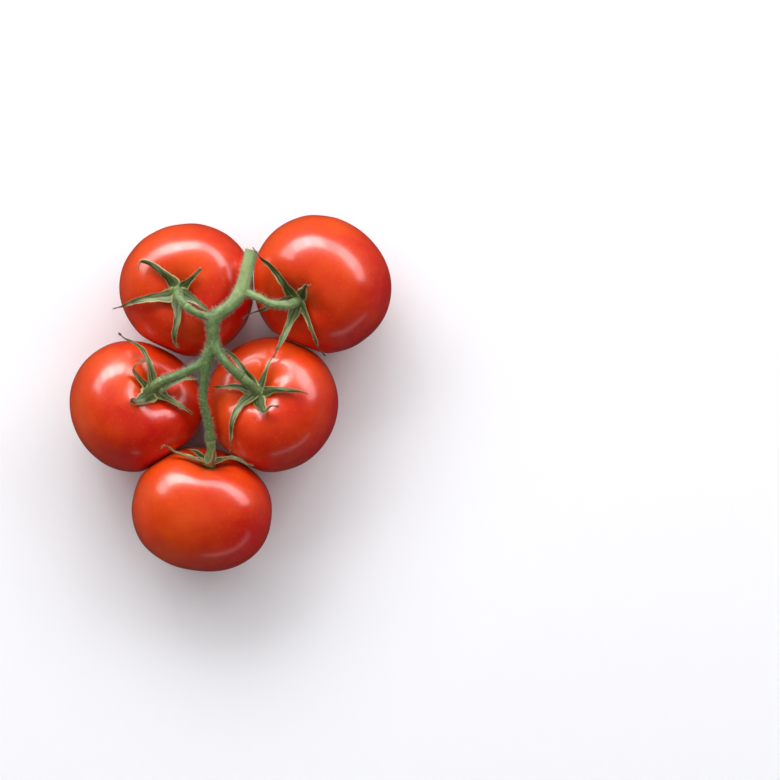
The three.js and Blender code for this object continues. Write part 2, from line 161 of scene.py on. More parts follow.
# Sepals, as (width, fold, twist, dry share, points). A fold over 0 makes a trough and one under 0
# a ridge. The dry share is how much of the length has dried brown, from the tip. Each point is
# (angle round the stem, distance from the stem axis, lift over the skin).

SEPALS = {
    "top_left": [
        (4.4, -0.25, 0, 0.16,
         [(116, 4.7, 1.7), (127, 12.5, 2.5), (134, 19, 4), (139, 21.5, 6), (148, 19.5, 8)]),
        (3.4, 0.2, 0, 0.08, [(42, 4.4, 1.7), (41, 10.5, 2.5), (42, 15.5, 4.5), (41, 17.2, 6.5)]),
        (5.2, 0.45, 0, 0.22,
         [(-155, 4, 1.7), (-167, 11, 2.2), (-168, 18, 2.6), (-166, 28, 3.5), (-166, 32.5, 5)]),
        (4.4, 0.4, 0, 0.12,
         [(-88, 5, 1.7), (-88, 12.5, 2), (-94, 19, 2.2), (-93, 24, 2.7), (-90, 25.7, 4)]),
        (4.6, 0.4, 0, 0.08, [(-15, 4, 1.7), (-23, 10.3, 2), (-28, 15.4, 1.8), (-31, 18, 1.6)]),
    ],
    "top_right": [
        (5, 0.2, 25, 0.24,
         [(112, 4.9, 2.6), (107, 12.6, 3.9), (114, 20.6, 6.8), (117, 27.2, 14.7), (116, 32.7, 20)]),
        (3.8, 0.3, 0, 0.3,
         [(150, 3.5, 2.6), (171, 8.4, 3.6), (-173, 14.4, 5), (-169, 20.7, 9.3), (-166, 26, 15)]),
        (4.6, 0.35, -20, 0.26,
         [(-106, 3.3, 2.9), (-104, 9.6, 6.2), (-105, 15.2, 10.6), (-105, 19, 16.4), (-103, 20.6, 20.5)]),
        (3.6, 0.35, 0, 0.25,
         [(-31, 3, 1.8), (-49, 10.5, 2), (-61, 17.7, 2.2), (-70, 24.6, 3.4), (-68, 28.1, 6.4)]),
        (4.4, -0.5, 0, 0.3, [(60, 4.3, 2.7), (53, 10, 4.4), (52, 14.4, 5.8), (50, 15, 3.4)]),
    ],
    "mid_left": [
        (4.2, 0.3, 15, 0.3,
         [(119, 3.5, 2.6), (116, 10.4, 3.8), (116, 17.5, 5.2), (122, 22.6, 7.9), (127, 26.6, 11.6),
          (130, 30, 15.5)]),
        (3.6, -0.2, 0, 0.35,
         [(173, 3.9, 2), (160, 10.5, 3), (157, 14.1, 5), (148, 14.1, 7), (132, 12.4, 8)]),
        (7.6, -0.05, 0, 0.3,
         [(-134, 4.8, 2.5), (-138, 10.7, 2.8), (-141, 14.3, 3), (-148, 17, 4), (-141, 18.8, 5)]),
        (4.6, 0.3, 0, 0.08,
         [(-60, 4.5, 2.2), (-51, 9, 2.4), (-42, 13.8, 2.4), (-37, 18.4, 3), (-33, 21.2, 3.5)]),
        (3.8, 0.35, 0, 0.1, [(2, 3.2, 2.4), (9, 6, 4.6), (13, 10.8, 6), (10, 15.8, 8), (6, 19.1, 9.8)]),
    ],
    "mid_right": [
        (3.8, 0.25, 20, 0.12,
         [(118, 3.3, 2.8), (120, 11.5, 5.4), (124, 18, 8.4), (128, 22, 11), (132, 23.4, 13)]),
        (3, 0.3, 0, 0.2, [(49, 3.6, 1.8), (57, 10.6, 3), (60, 15, 3), (62, 17.2, 2.6)]),
        (3.8, -0.2, 0, 0.15, [(-3, 4, 1.7), (-3, 11.8, 2.5), (-4, 17, 3), (-4, 21.3, 4), (-5, 24.8, 4.5)]),
        (5.2, -0.15, 0, 0.3,
         [(-75, 3.9, 1.7), (-66, 9.2, 2.2), (-60, 12.9, 4), (-46, 13.2, 6), (-36, 16.6, 7)]),
        (4.6, 0.35, 0, 0.15,
         [(-133, 3.6, 1.7), (-130, 11, 2), (-124, 18.2, 2.2), (-119, 24.5, 2.2), (-116, 30.5, 2.5)]),
        (3.8, 0.25, 0, 0.1, [(169, 4.5, 1.8), (170, 9.3, 2.5), (175, 15.7, 3), (172, 23.5, 3)]),
    ],
    "end": [
        (4.2, 0.35, 0, 0.25,
         [(-150, 3, 1.8), (-164, 9.2, 1.8), (-171, 17, 3.9), (-170, 22.2, 9.4), (-167, 24, 9.6)]),
        (6, 0.15, 0, 0.08, [(156, 3, 1.8), (156, 7, 3), (160, 11.2, 3)]),
        (5, 0.3, 70, 0.08, [(-62, 3, 2.2), (-82, 6.8, 9), (-89, 9.4, 15)]),
        (4.2, 0.3, 0, 0.2,
         [(-11, 3.2, 1.9), (-10, 8.8, 3.4), (-16, 14, 3.9), (-19, 19, 4.8), (-18, 20.8, 6.2)]),
        (4.6, 0.3, 0, 0.08, [(80, 4, 1.8), (81, 10, 2), (81, 15, 2.2)]),
    ],
}
SEPAL_ROOT = 1.2  # distance from the stem axis at which a sepal starts, in the receptacle
SEPAL_TAPER = {"root": 1.1, "power": 0.85}

# Fine form of the skins

SWELL_WAVES = 14  # waves that add up to an uneven swell
SWELL_RANGE = (0.7, 1.6)  # their lengths, as shares of the one asked for
RIPPLE_LENGTH = 17  # from one slight swell of a skin to the next
RIPPLE_HEIGHT = 0.08
PLEAT_REACH = 8
PLEAT_SPREAD = 5
PLEAT_SHIFTS = [(2, 0.7, "toward"), (3, 0.4, "tilt")]  # (count, share, what sets the phase)
POLE_GAP = 0.004  # angle from the axis at which a skin's first and last rings lie
MEASURING_GRID = (90, 90)
PAINTED_LIGHT_SIDE = (-0.6, 0.62, 0.5)  # the side that faces the windows, painted most orange as painted light
PAINTED_SHADE_SHARE = 1.05  # how much redder the side of a tomato away from the windows is painted than its lit side, as painted shade
PAINTED_SHADE_BALANCE = 0.4  # how far round from its lit side a tomato is as ripe as its row says; painted shade reddens it beyond, painted light turns it orange before
BLOTCH_LENGTH = 26  # from one redder patch to the next
BLOTCH_SHARE = 0.12
BLOTCH_SEED = 100

# Fine form of the sepals

MIDRIB_THICKNESS = 0.75
MARGIN_THICKNESS = 0.3
TIP_WIDTH = 0.32
ROOT_FLARE = 0.85  # how much a sepal spreads where it joins its neighbours, on each side
ROOT_FLARE_AT = 3.6
ROOT_FLARE_REACH = 3
MARGIN_CURL = 0.35  # height of the rolled margin, as a share of the half width
WAVE_LENGTH = 9  # from one wave of a margin to the next
WAVE_HEIGHT = 0.14
VEIN_HEIGHT = 0.07
DRY_TWIST = 80  # degrees that a dried tip has turned
KNOB = 1.6  # how much a wholly dried sepal would curl into a knob at its tip, on each side
KNOB_REACH = 0.9
DRY_FADE = (1.6, 0.4)  # where drying starts and is complete, in dry shares from the tip
DRY_SHRINK = 0.4  # share of its width that a dried tip has lost
UNEVEN_SHARE = 0.06  # how much the width of a sepal wavers
UNEVEN_TURN = 1.1  # radians a millimetre
FLESH_POWER = 1.5  # how the flesh thins from midrib to margin
EDGE_POWER = 6  # how squarely a margin is rounded off
TIP_THINNESS = 0.45  # share of the thickness that is left at the tip
THINNING_SHARE = 0.5  # share of the length over which the blade thins, to the tip
TROUGH_SOFTNESS = 0.02
CURL_FROM = (0.1, 0.4)  # shares of the length between which the margins begin to roll
WAVE_LAG = 0.9  # how far the waves of one margin run ahead of the middle, in radians
VEIN_COUNT = 5
VEIN_FADE = 0.4  # share of the length over which the veins fade, to the tip
GROOVE_DEPTH = 0.12  # of the furrow over the midrib
GROOVE_SPREAD = 0.16
YOUNG_SHARE = 0.25  # share of the length that is young green, from the root
PALE_FOLDS = (0.15, 0.45)  # the folds between which a sepal turns its pale face up
MARGIN_HAIR = 0.8  # length of a hair on a margin
MARGIN_HAIR_RANGE = (0.5, 1.1)
MARGIN_HAIR_SCATTER = 0.45
SEPAL_SEEDS = 10  # seeds set aside for each calyx

# Fine form of the stems

STEM_SIDES = 28
STEM_STEP = 0.5
FEWEST_STATIONS = 6
MEASURING_STATIONS = 200
SMOOTHING = 0.5  # how far a point moves towards the middle of its neighbours in a pass
CALYX_PASSES = 4
STALK_PASSES = 7
RIDGE_COUNT = 9
RIDGE_HEIGHT = 0.05
RIDGE_TURN = 0.12  # how much the ridges wind, in radians a millimetre
OUTER_PART = (0.4, 0.9)  # shares of the half thickness between which ridges and swellings begin
AXIS_GAP = 0.1  # the least distance from a stem's axis that is divided by
BUMP_LENGTH = 3.5  # from one small bump of a stem's skin to the next
BUMP_HEIGHT = 0.04
STALK_SEED = 50
FLARE = 0.55  # how much a side stalk widens where it leaves the main stem, on each side
FLARE_REACH = 3.4
KNUCKLE_SWELL = 0.14
KNUCKLE_REACH = 1.7  # distance from the knuckle's crease to its swelling
KNUCKLE_SPREAD = 1.1
CREASE_SHARE = 1.2  # depth of the crease, as a share of the swelling
CREASE_SPREAD = 0.45
NO_KNUCKLE = -9  # a place that is far from all of the bud's stub
CALYX_AGE = 0.75  # how green a calyx's stalk end is
PALE_REACH = 9  # how much of the stalk is wholly pale, from its cut end
GREEN_SHARE = 0.45  # share of its length after which it is wholly green
PITH_RADIUS = 1.4
PITH_DEPTH = 0.35
CUT_REACH = 4  # nothing further from the axis belongs to the cut
FACE_DEPTH = (0.25, 0.05)  # distances along the stem between which the cut face begins
FACE_EDGE = (2.6, 2.2)  # distances from its axis between which the face begins
RIM_EDGE = (1.6, 2.2)  # distances from its axis between which the rim begins
RIM_SPREAD = 0.7
HAIR_SEED = 60
HAIR_RANGE = (0.45, 1.2)  # lengths, as shares of the one that is set
HAIR_SCATTER = 0.25
NEARLY_UPRIGHT = 0.9

# Daylight comes through a bay of windows behind the cut end of the stalk, as (compass angle,
# share of the power). The skins mirror the bay's bright panes, and a pale card that stands in
# front, as (compass angle, elevation, size, share of the power). Sizes are in metres.

DAYLIGHT = [(146, 0.12), (120, 0.24), (97, 0.26), (73, 0.14), (48, 0.14), (24, 0.1)]
DAYLIGHT_ELEVATION = 36
WINDOW_SIZE = (1.25, 1.3)
CARD_SIZE = (3.2, 0.36)
PANES = [
    (146, 25, WINDOW_SIZE, 0.13), (120, 25, WINDOW_SIZE, 0.25), (97, 25, WINDOW_SIZE, 0.26),
    (73, 25, WINDOW_SIZE, 0.12), (48, 24, WINDOW_SIZE, 0.16), (24, 23, WINDOW_SIZE, 0.1),
    (-64, 4, CARD_SIZE, 0.02),
]
WINDOW_DISTANCE = 3.0
WINDOW_COLOUR = "#F9F9FF"
CEILING_HEIGHT = 3.0
CEILING_SIZE = (5.0, 5.0)
FLOOR_REACH = 3.0
SENSOR_WIDTH = 36  # millimetres


# Colours and shader nodes

def linear(hex_colour):
    """A colour given as sRGB hex, as the linear values that shaders use"""
    shares = [int(hex_colour[start:start + 2], 16) / 255 for start in (1, 3, 5)]
    values = [((share + 0.055) / 1.055) ** 2.4 if share > 0.04045 else share / 12.92 for share in shares]
    return (*values, 1)


def per_metre(millimetres):
    """A texture's scale, from the real size of its pattern"""
    return 1 / (millimetres * MM)


def add_node(tree, kind, give, settings=None, **inputs):
    """Adds a shader node, sets or links its inputs, and returns the output that is named"""
    node = tree.nodes.new("ShaderNode" + kind)
    for name, value in (settings or {}).items():
        setattr(node, name, value)
    for name, value in inputs.items():
        socket = next(one for one in node.inputs if name in (one.identifier, one.name.replace(" ", "_")))
        if isinstance(value, bpy.types.NodeSocket):
            tree.links.new(value, socket)
        else:
            socket.default_value = value
    return next((one for one in node.outputs if give in (one.identifier, one.name)), None)


SMOOTH = {"interpolation_type": "SMOOTHSTEP"}
BLEND = {"data_type": "RGBA"}
MULTIPLY_ADD = {"operation": "MULTIPLY_ADD"}


def new_material(name, surface, settings):
    """A material whose surface a function makes"""
    material = bpy.data.materials.new(name)
    material.use_nodes = True
    tree = material.node_tree
    tree.nodes.clear()
    shader = surface(tree, settings)
    add_node(tree, "OutputMaterial", None, Surface=shader)
    return material


# Curves, frames and shells

def bell(distance, spread):
    return np.exp(-((distance / spread) ** 2))


def smooth_step(value, start, end):
    share = np.clip((value - start) / (end - start), 0, 1)
    return share * share * (3 - 2 * share)


def unit(vectors):
    return vectors / np.linalg.norm(vectors, axis=-1, keepdims=True)


def curve_through(points, stations):
    """Points of a smooth curve through given points, at stations from 0 to 1"""
    points = np.asarray(points, float)
    padded = np.vstack([2 * points[0] - points[1], points, 2 * points[-1] - points[-2]])
    reached = stations * (len(points) - 1)
    first = np.minimum(reached.astype(int), len(points) - 2)
    share = (reached - first)[:, None]
    before, start, end, after = (padded[first + step] for step in range(4))
    lead, span, trail = (
        np.linalg.norm(far - near, axis=1, keepdims=True) ** 0.5
        for near, far in ((before, start), (start, end), (end, after))
    )
    leave = ((start - before) / lead - (end - before) / (lead + span) + (end - start) / span) * span
    arrive = ((end - start) / span - (after - start) / (span + trail) + (after - end) / trail) * span
    return (
        start * (2 * share**3 - 3 * share**2 + 1) + leave * (share**3 - 2 * share**2 + share)
        + end * (3 * share**2 - 2 * share**3) + arrive * (share**3 - share**2)
    )


def directions(middles, first_up):
    """The forward, up and side directions along a curve, turning no more than it does"""
    forward = unit(np.gradient(middles, axis=0))
    up = np.empty_like(forward)
    last = np.asarray(first_up, float)
    for row, ahead in enumerate(forward):
        last = last - last.dot(ahead) * ahead
        last = last / np.linalg.norm(last)
        up[row] = last
    return forward, up, np.cross(forward, up)


def loft(rings, **values):
    """A closed shell through rings of points, with the values that its surface carries"""
    rows, columns = rings.shape[:2]
    index = np.arange(rows * columns).reshape(rows, columns)
    beside = np.roll(index, -1, axis=1)
    first_cap = rows * columns
    last_cap = first_cap + 1
    faces = np.stack([index[:-1], beside[:-1], beside[1:], index[1:]], axis=-1).reshape(-1, 4).tolist()
    faces += [(b, a, first_cap) for a, b in zip(index[0].tolist(), beside[0].tolist())]
    faces += [(a, b, last_cap) for a, b in zip(index[-1].tolist(), beside[-1].tolist())]
    points = np.vstack([rings.reshape(-1, 3), rings[0].mean(axis=0), rings[-1].mean(axis=0)])
    carried = {}
    for name, value in values.items():
        spread = np.broadcast_to(value, (rows, columns))
        carried[name] = np.concatenate([spread.ravel(), [spread[0].mean(), spread[-1].mean()]])
    return {"points": points, "faces": faces, "values": carried, "material": 0}


def join(shells):
    """The points of several shells, and their faces with each corner counted among them all"""
    faces = []
    start = 0
    for shell in shells:
        faces += [[corner + start for corner in face] for face in shell["faces"]]
        start += len(shell["points"])
    return np.vstack([shell["points"] for shell in shells]), faces


def make_piece(context, name, node, shells, materials):
    """One object from closed shells, standing for a node of the frame"""
    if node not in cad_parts:
        raise RuntimeError(f"the frame has no node {node}")
    points, faces = join(shells)
    mesh = bpy.data.meshes.new(name)
    mesh.from_pydata(points * MM, [], faces)
    for value_name in sorted({key for shell in shells for key in shell["values"]}):
        attribute = mesh.attributes.new(value_name, "FLOAT", "POINT")
        columns = [shell["values"].get(value_name, np.zeros(len(shell["points"]))) for shell in shells]
        attribute.data.foreach_set("value", np.concatenate(columns).astype(np.float32))
    for material in materials:
        mesh.materials.append(material)
    face_materials = [shell["material"] for shell in shells for _ in shell["faces"]]
    mesh.polygons.foreach_set("material_index", face_materials)
    mesh.shade_smooth()
    mesh.update()
    piece = bpy.data.objects.new(name, mesh)
    context.scene.collection.objects.link(piece)
    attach(piece, BODY)
    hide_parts(node)
    return piece


def fuse(context, shells, grain, passes):
    """One skin round shells that cross, as points and quads, with its steps smoothed away"""
    rough = bpy.data.meshes.new("rough")
    points, faces = join(shells)
    rough.from_pydata(points, [], faces)
    holder = bpy.data.objects.new("rough", rough)
    context.scene.collection.objects.link(holder)
    remesh = holder.modifiers.new("Fuse", "REMESH")
    remesh.mode = "VOXEL"
    remesh.voxel_size = grain
    smooth = holder.modifiers.new("Smooth", "SMOOTH")
    smooth.factor = SMOOTHING
    smooth.iterations = passes
    finished = holder.evaluated_get(context.evaluated_depsgraph_get()).to_mesh()
    points = np.empty(len(finished.vertices) * 3)
    finished.vertices.foreach_get("co", points)
    normals = np.empty_like(points)
    finished.vertices.foreach_get("normal", normals)
    quads = np.array([list(polygon.vertices) for polygon in finished.polygons])
    bpy.data.objects.remove(holder)
    bpy.data.meshes.remove(rough)
    if len(quads) == 0:
        raise RuntimeError("the stems could not be fused into one skin")
    return points.reshape(-1, 3), quads, normals.reshape(-1, 3)


def ripples(points, length, height, seed):
    """A soft uneven swell, as a sum of waves in seeded directions"""
    draw = np.random.default_rng(seed)
    total = np.zeros(len(points))
    for heading in unit(draw.normal(size=(SWELL_WAVES, 3))):
        wave = 2 * math.pi / (length * draw.uniform(*SWELL_RANGE))
        total += np.sin(points @ heading * wave + draw.uniform(0, 2 * math.pi))
    return total * height / math.sqrt(SWELL_WAVES / 2)


def hair_shell(roots, headings, lengths, thickness):
    """Hairs as slim three-sided spikes with their roots sunk in"""
    count = len(roots)
    helper = np.where(np.abs(headings[:, 2:]) < NEARLY_UPRIGHT, [[0, 0, 1]], [[1, 0, 0]])
    side = unit(np.cross(headings, helper))
    other = np.cross(headings, side)
    sunk = roots - headings * thickness
    corners = [
        sunk + (side * math.cos(angle) + other * math.sin(angle)) * thickness / 2
        for angle in (0, 2 * math.pi / 3, 4 * math.pi / 3)
    ]
    tips = roots + headings * lengths[:, None]
    points = np.stack([*corners, tips], axis=1).reshape(-1, 3)
    base = 4 * np.arange(count)[:, None, None]
    faces = (base + np.array([[0, 1, 3], [1, 2, 3], [2, 0, 3], [2, 1, 0]])).reshape(-1, 3).tolist()
    values = {"tip": np.tile([0, 0, 0, 1], count)}
    return {"points": points, "faces": faces, "values": values, "material": 1}


# The form of a tomato

def out_of_round(fruit, angle):
    total = np.ones_like(angle)
    for count, share, at in fruit["lobes"]:
        total = total + share * np.cos(count * (angle - math.radians(at)))
    return total


def stem_relief(fruit, out, angle):
    """How far the stem end stands over or under the plain round body"""
    rib_count, rib_height, rib_angle = fruit["ribs"]
    shoulder_height, shoulder_angle = fruit["shoulder"]
    share = np.minimum(out / (fruit["radius"] * out_of_round(fruit, angle)), 1)
    dimple = -fruit["dimple"] * bell(out, DIMPLE_REACH)
    ribs = rib_height * np.cos(rib_count * (angle - math.radians(rib_angle)))
    shoulder = shoulder_height * np.cos(angle - math.radians(shoulder_angle))
    return (
        dimple + ribs * bell(out - RIB_REACH, RIB_SPREAD)
        + shoulder * bell(out - SHOULDER_REACH, SHOULDER_SPREAD) * (1 - share**SHOULDER_FADE)
    )


def pleats(fruit, out, angle):
    """Fine uneven folds that run into the dimple"""
    count, height = fruit["pleats"]
    uneven = sum(share * np.sin(turns * angle + fruit[phase]) for turns, share, phase in PLEAT_SHIFTS)
    return height * np.cos(count * angle + uneven) * bell(out - PLEAT_REACH, PLEAT_SPREAD)


def skin_point(fruit, angle, from_stem):
    """Points of the skin, at angles round the stem axis and angles down from the stem"""
    near_stem = from_stem < math.pi / 2
    power = np.where(near_stem, 2 / STEM_FULLNESS, 2 / BASE_FULLNESS)
    out = fruit["radius"] * np.sin(from_stem) ** power * out_of_round(fruit, angle)
    height = fruit["radius"] * fruit["flatness"] * np.abs(np.cos(from_stem)) ** power
    relief = np.where(
        near_stem,
        stem_relief(fruit, out, angle) + pleats(fruit, out, angle),
        -SCAR_DEPTH * bell(out, SCAR_REACH),
    )
    up = np.where(near_stem, 1, -1) * (height + relief)
    return np.stack([out * np.cos(angle), out * np.sin(angle), up], axis=-1), out


def skin_height(fruit, angle, out):
    """The skin's height along the stem axis, at an angle round it and a distance from it"""
    share = np.minimum(out / (fruit["radius"] * out_of_round(fruit, angle)), RIM_SHARE)
    body = (1 - share**STEM_FULLNESS) ** (1 / STEM_FULLNESS)
    return fruit["radius"] * fruit["flatness"] * body + stem_relief(fruit, out, angle)


def skin_grid(fruit, rows, columns):
    """The skin before it settles, from its base up to its stem"""
    from_stem = np.linspace(math.pi - POLE_GAP, POLE_GAP, rows)[:, None]
    angle = np.linspace(0, 2 * math.pi, columns, endpoint=False)[None, :]
    return skin_point(fruit, *np.broadcast_arrays(angle, from_stem))


def settle(fruit):
    """Leans a tomato's stem axis over and finds the height at which it rests"""
    sideways = math.radians(fruit["toward"])
    hinge = Vector((-math.sin(sideways), math.cos(sideways), 0))
    lean = np.array(Matrix.Rotation(math.radians(fruit["tilt"]), 3, hinge))
    grid, _ = skin_grid(fruit, *MEASURING_GRID)
    lowest = (grid @ lean.T)[..., 2].min()
    return {**fruit, "lean": lean, "middle": np.array([*fruit["at"], -lowest - SETTLED])}


def place(fruit, points):
    """Points of a fruit's own frame, where the fruit lies"""
    return points @ fruit["lean"].T + fruit["middle"]


FRUIT = {name: settle(fruit) for name, fruit in TOMATOES.items()}


def press(points, normal, at):
    """Moves points that are past a plane back to it, and eases the skin in just before it"""
    past = (points - at) @ normal
    ease = np.maximum(PRESS_SOFTNESS - np.abs(past), 0) / PRESS_SOFTNESS
    kept = np.minimum(past, 0) - ease**2 * PRESS_SOFTNESS / 4
    return points + (kept - past)[..., None] * normal


def press_by_neighbours(name, points):
    for round_one, pressed_one, reach in CONTACTS:
        if name not in (round_one, pressed_one):
            continue
        start = FRUIT[round_one]["middle"]
        normal = unit(FRUIT[pressed_one]["middle"] - start)
        turn = 1 if name == round_one else -1
        points = press(points, normal * turn, start + normal * (reach - turn * GAP / 2))
    return points


def tomato_skin(name, seed, rows, columns):
    """One tomato's skin, with how deep its red is, painted deeper as shade on the side away from the
    windows, and how far each point is from stem and base
    """
    fruit = FRUIT[name]
    grid, out = skin_grid(fruit, rows, columns)
    points = place(fruit, grid)
    away = unit(points - fruit["middle"])
    swell = ripples(points.reshape(-1, 3), RIPPLE_LENGTH, RIPPLE_HEIGHT, seed).reshape(out.shape)
    points = press_by_neighbours(name, points + away * swell[..., None])
    points[..., 2] = np.maximum(points[..., 2], 0)
    # Painted shade: the side away from the windows is painted deeper red, and the side facing them is
    # painted more orange as painted light
    painted_shade = 0.5 - 0.5 * (away @ unit(np.array(PAINTED_LIGHT_SIDE)))
    blotch = ripples(points.reshape(-1, 3), BLOTCH_LENGTH, BLOTCH_SHARE, seed + BLOTCH_SEED)
    redness = fruit["ripeness"] + PAINTED_SHADE_SHARE * (painted_shade - PAINTED_SHADE_BALANCE) + blotch.reshape(out.shape)
    stem_side = grid[..., 2] > 0
    far = fruit["radius"]
    return loft(
        points,
        redness=np.clip(redness, 0, 1),
        from_stem=np.where(stem_side, out, far),
        from_base=np.where(stem_side, far, out),
    )


# The form of the stems

def stem_run(points, start=0.0, end=1.0):
    """A stretch of a stem: its middles, directions, half thickness and distance from its start"""
    points = np.asarray(points, float)
    rough = curve_through(points[:, :3], np.linspace(start, end, MEASURING_STATIONS))
    length = np.linalg.norm(np.diff(rough, axis=0), axis=1).sum()
    stations = np.linspace(start, end, max(FEWEST_STATIONS, round(length / STEM_STEP)))
    middles = curve_through(points[:, :3], stations)
    thickness = np.interp(stations * (len(points) - 1), np.arange(len(points)), points[:, 3])
    forward, up, side = directions(middles, (0, 0, 1))
    steps = np.linalg.norm(np.diff(middles, axis=0), axis=1)
    travelled = np.concatenate([[0], np.cumsum(steps)])
    return {
        "middles": middles, "forward": forward, "up": up, "side": side,
        "half": thickness / 2, "travelled": travelled, "length": travelled[-1],
    }


def knuckle_ends(name):
    """The shares of a fruit's whole stem at which its stalk ends and its calyx begins"""
    to_knuckle, to_fruit = STEMS[name]
    points = np.array(to_knuckle + to_fruit, float)
    share = (len(to_knuckle) - 1) / (len(points) - 1)
    nearby = 0.01
    around = curve_through(points[:, :3], np.array([share - nearby, share + nearby]))
    half_lap = KNUCKLE_LAP * nearby / np.linalg.norm(around[1] - around[0])
    return points, share + half_lap, share - half_lap


def knuckle_swell(distance):
    """How much thicker a stem is, at a distance from the crease of its knuckle"""
    swelling = bell(distance - KNUCKLE_REACH, KNUCKLE_SPREAD)
    return KNUCKLE_SWELL * (swelling - CREASE_SHARE * bell(distance, CREASE_SPREAD))


def stem_shell(run):
    angle = np.linspace(0, 2 * math.pi, STEM_SIDES, endpoint=False)[None, :, None]
    across = -np.cos(angle) * run["side"][:, None] + np.sin(angle) * run["up"][:, None]
    return loft(run["middles"][:, None] + across * run["half"][:, None, None])


def nearest_on(runs, points):
    """For each point, the run and the station that it lies by"""
    tree = KDTree(sum(len(run["middles"]) for run in runs))
    owners = []
    for number, run in enumerate(runs):
        for row, middle in enumerate(run["middles"]):
            tree.insert(middle, len(owners))
            owners.append((number, row))
    tree.balance()
    found = np.array([owners[tree.find(point)[1]] for point in points])
    return found[:, 0], found[:, 1]


def stem_relief_at(runs, points, seed):
    """Ridges and swellings of a stem's skin: the moved points, and how far each is from a knuckle"""
    owner, row = nearest_on(runs, points)
    moved = points.copy()
    to_knuckle = np.zeros(len(points))
    for number, run in enumerate(runs):
        mine = owner == number
        at = row[mine]
        offset = points[mine] - run["middles"][at]
        flat = offset - (offset * run["forward"][at]).sum(axis=1)[:, None] * run["forward"][at]
        reach = np.linalg.norm(flat, axis=1)
        around = np.arctan2((flat * run["up"][at]).sum(axis=1), (flat * run["side"][at]).sum(axis=1))
        from_crease = np.abs(run["knuckle_at"] - run["travelled"][at])
        ridge = RIDGE_HEIGHT * np.cos(RIDGE_COUNT * around + RIDGE_TURN * run["travelled"][at] + number)
        outer = smooth_step(reach, *(share * run["half"][at] for share in OUTER_PART))
        push = (ridge + knuckle_swell(from_crease)) * outer
        moved[mine] += flat / np.maximum(reach, AXIS_GAP)[:, None] * push[:, None]
        to_knuckle[mine] = from_crease
    bumps = ripples(points, BUMP_LENGTH, BUMP_HEIGHT, seed)[:, None] * unit(points - points.mean(axis=0))
    return moved + bumps, to_knuckle


def cut_face(main, skin):
    """How far each point of a skin sinks with the pith at the cut, and how much it is face and rim"""
    heading = main["forward"][0]
    ahead = (skin - main["middles"][0]) @ heading
    from_axis = np.linalg.norm(skin - main["middles"][0] - ahead[:, None] * heading, axis=1)
    near = from_axis < CUT_REACH
    on_face = smooth_step(ahead, *FACE_DEPTH) * near
    pushed = heading * (PITH_DEPTH * bell(from_axis, PITH_RADIUS) * on_face)[:, None]
    rim = bell(ahead, RIM_SPREAD) * smooth_step(from_axis, *RIM_EDGE) * near
    return pushed, on_face * smooth_step(from_axis, *FACE_EDGE), rim


def scatter(points, quads, normals, count, seed):
    """Seeded places on a skin, evenly by area, with the direction of the skin there"""
    draw = np.random.default_rng(seed)
    corners = points[quads]
    diagonals = corners[:, 2:] - corners[:, :2]
    area = np.linalg.norm(np.cross(diagonals[:, 0], diagonals[:, 1]), axis=1)
    chosen = draw.choice(len(quads), size=count, p=area / area.sum())
    weights = draw.dirichlet(np.ones(4), size=count)[..., None]
    return (corners[chosen] * weights).sum(axis=1), unit(normals[quads[chosen]].mean(axis=1)), draw


# The form of a calyx

def over_skin(fruit, angle, out, lift):
    turn = np.radians(angle)
    up = skin_height(fruit, np.asarray(turn, float), np.asarray(out, float)) + lift
    return place(fruit, np.array([out * math.cos(turn), out * math.sin(turn), up]))


def receptacle(fruit):
    bottom = skin_height(fruit, np.zeros(1), np.zeros(1))[0]
    angle = np.linspace(0, 2 * math.pi, STEM_SIDES, endpoint=False)
    round_it = np.stack([np.cos(angle), np.sin(angle), np.zeros_like(angle)], axis=-1)
    rings = [radius * round_it + (0, 0, bottom + lift) for radius, lift in RECEPTACLE]
    return loft(place(fruit, np.array(rings)))


def sepal_half_width(width, at):
    """Half of a sepal's width along its length: widest at the root, drawn out at the tip"""
    taper = SEPAL_TAPER["root"] * (1 - at) ** SEPAL_TAPER["power"]
    return np.maximum(width * taper, TIP_WIDTH) / 2


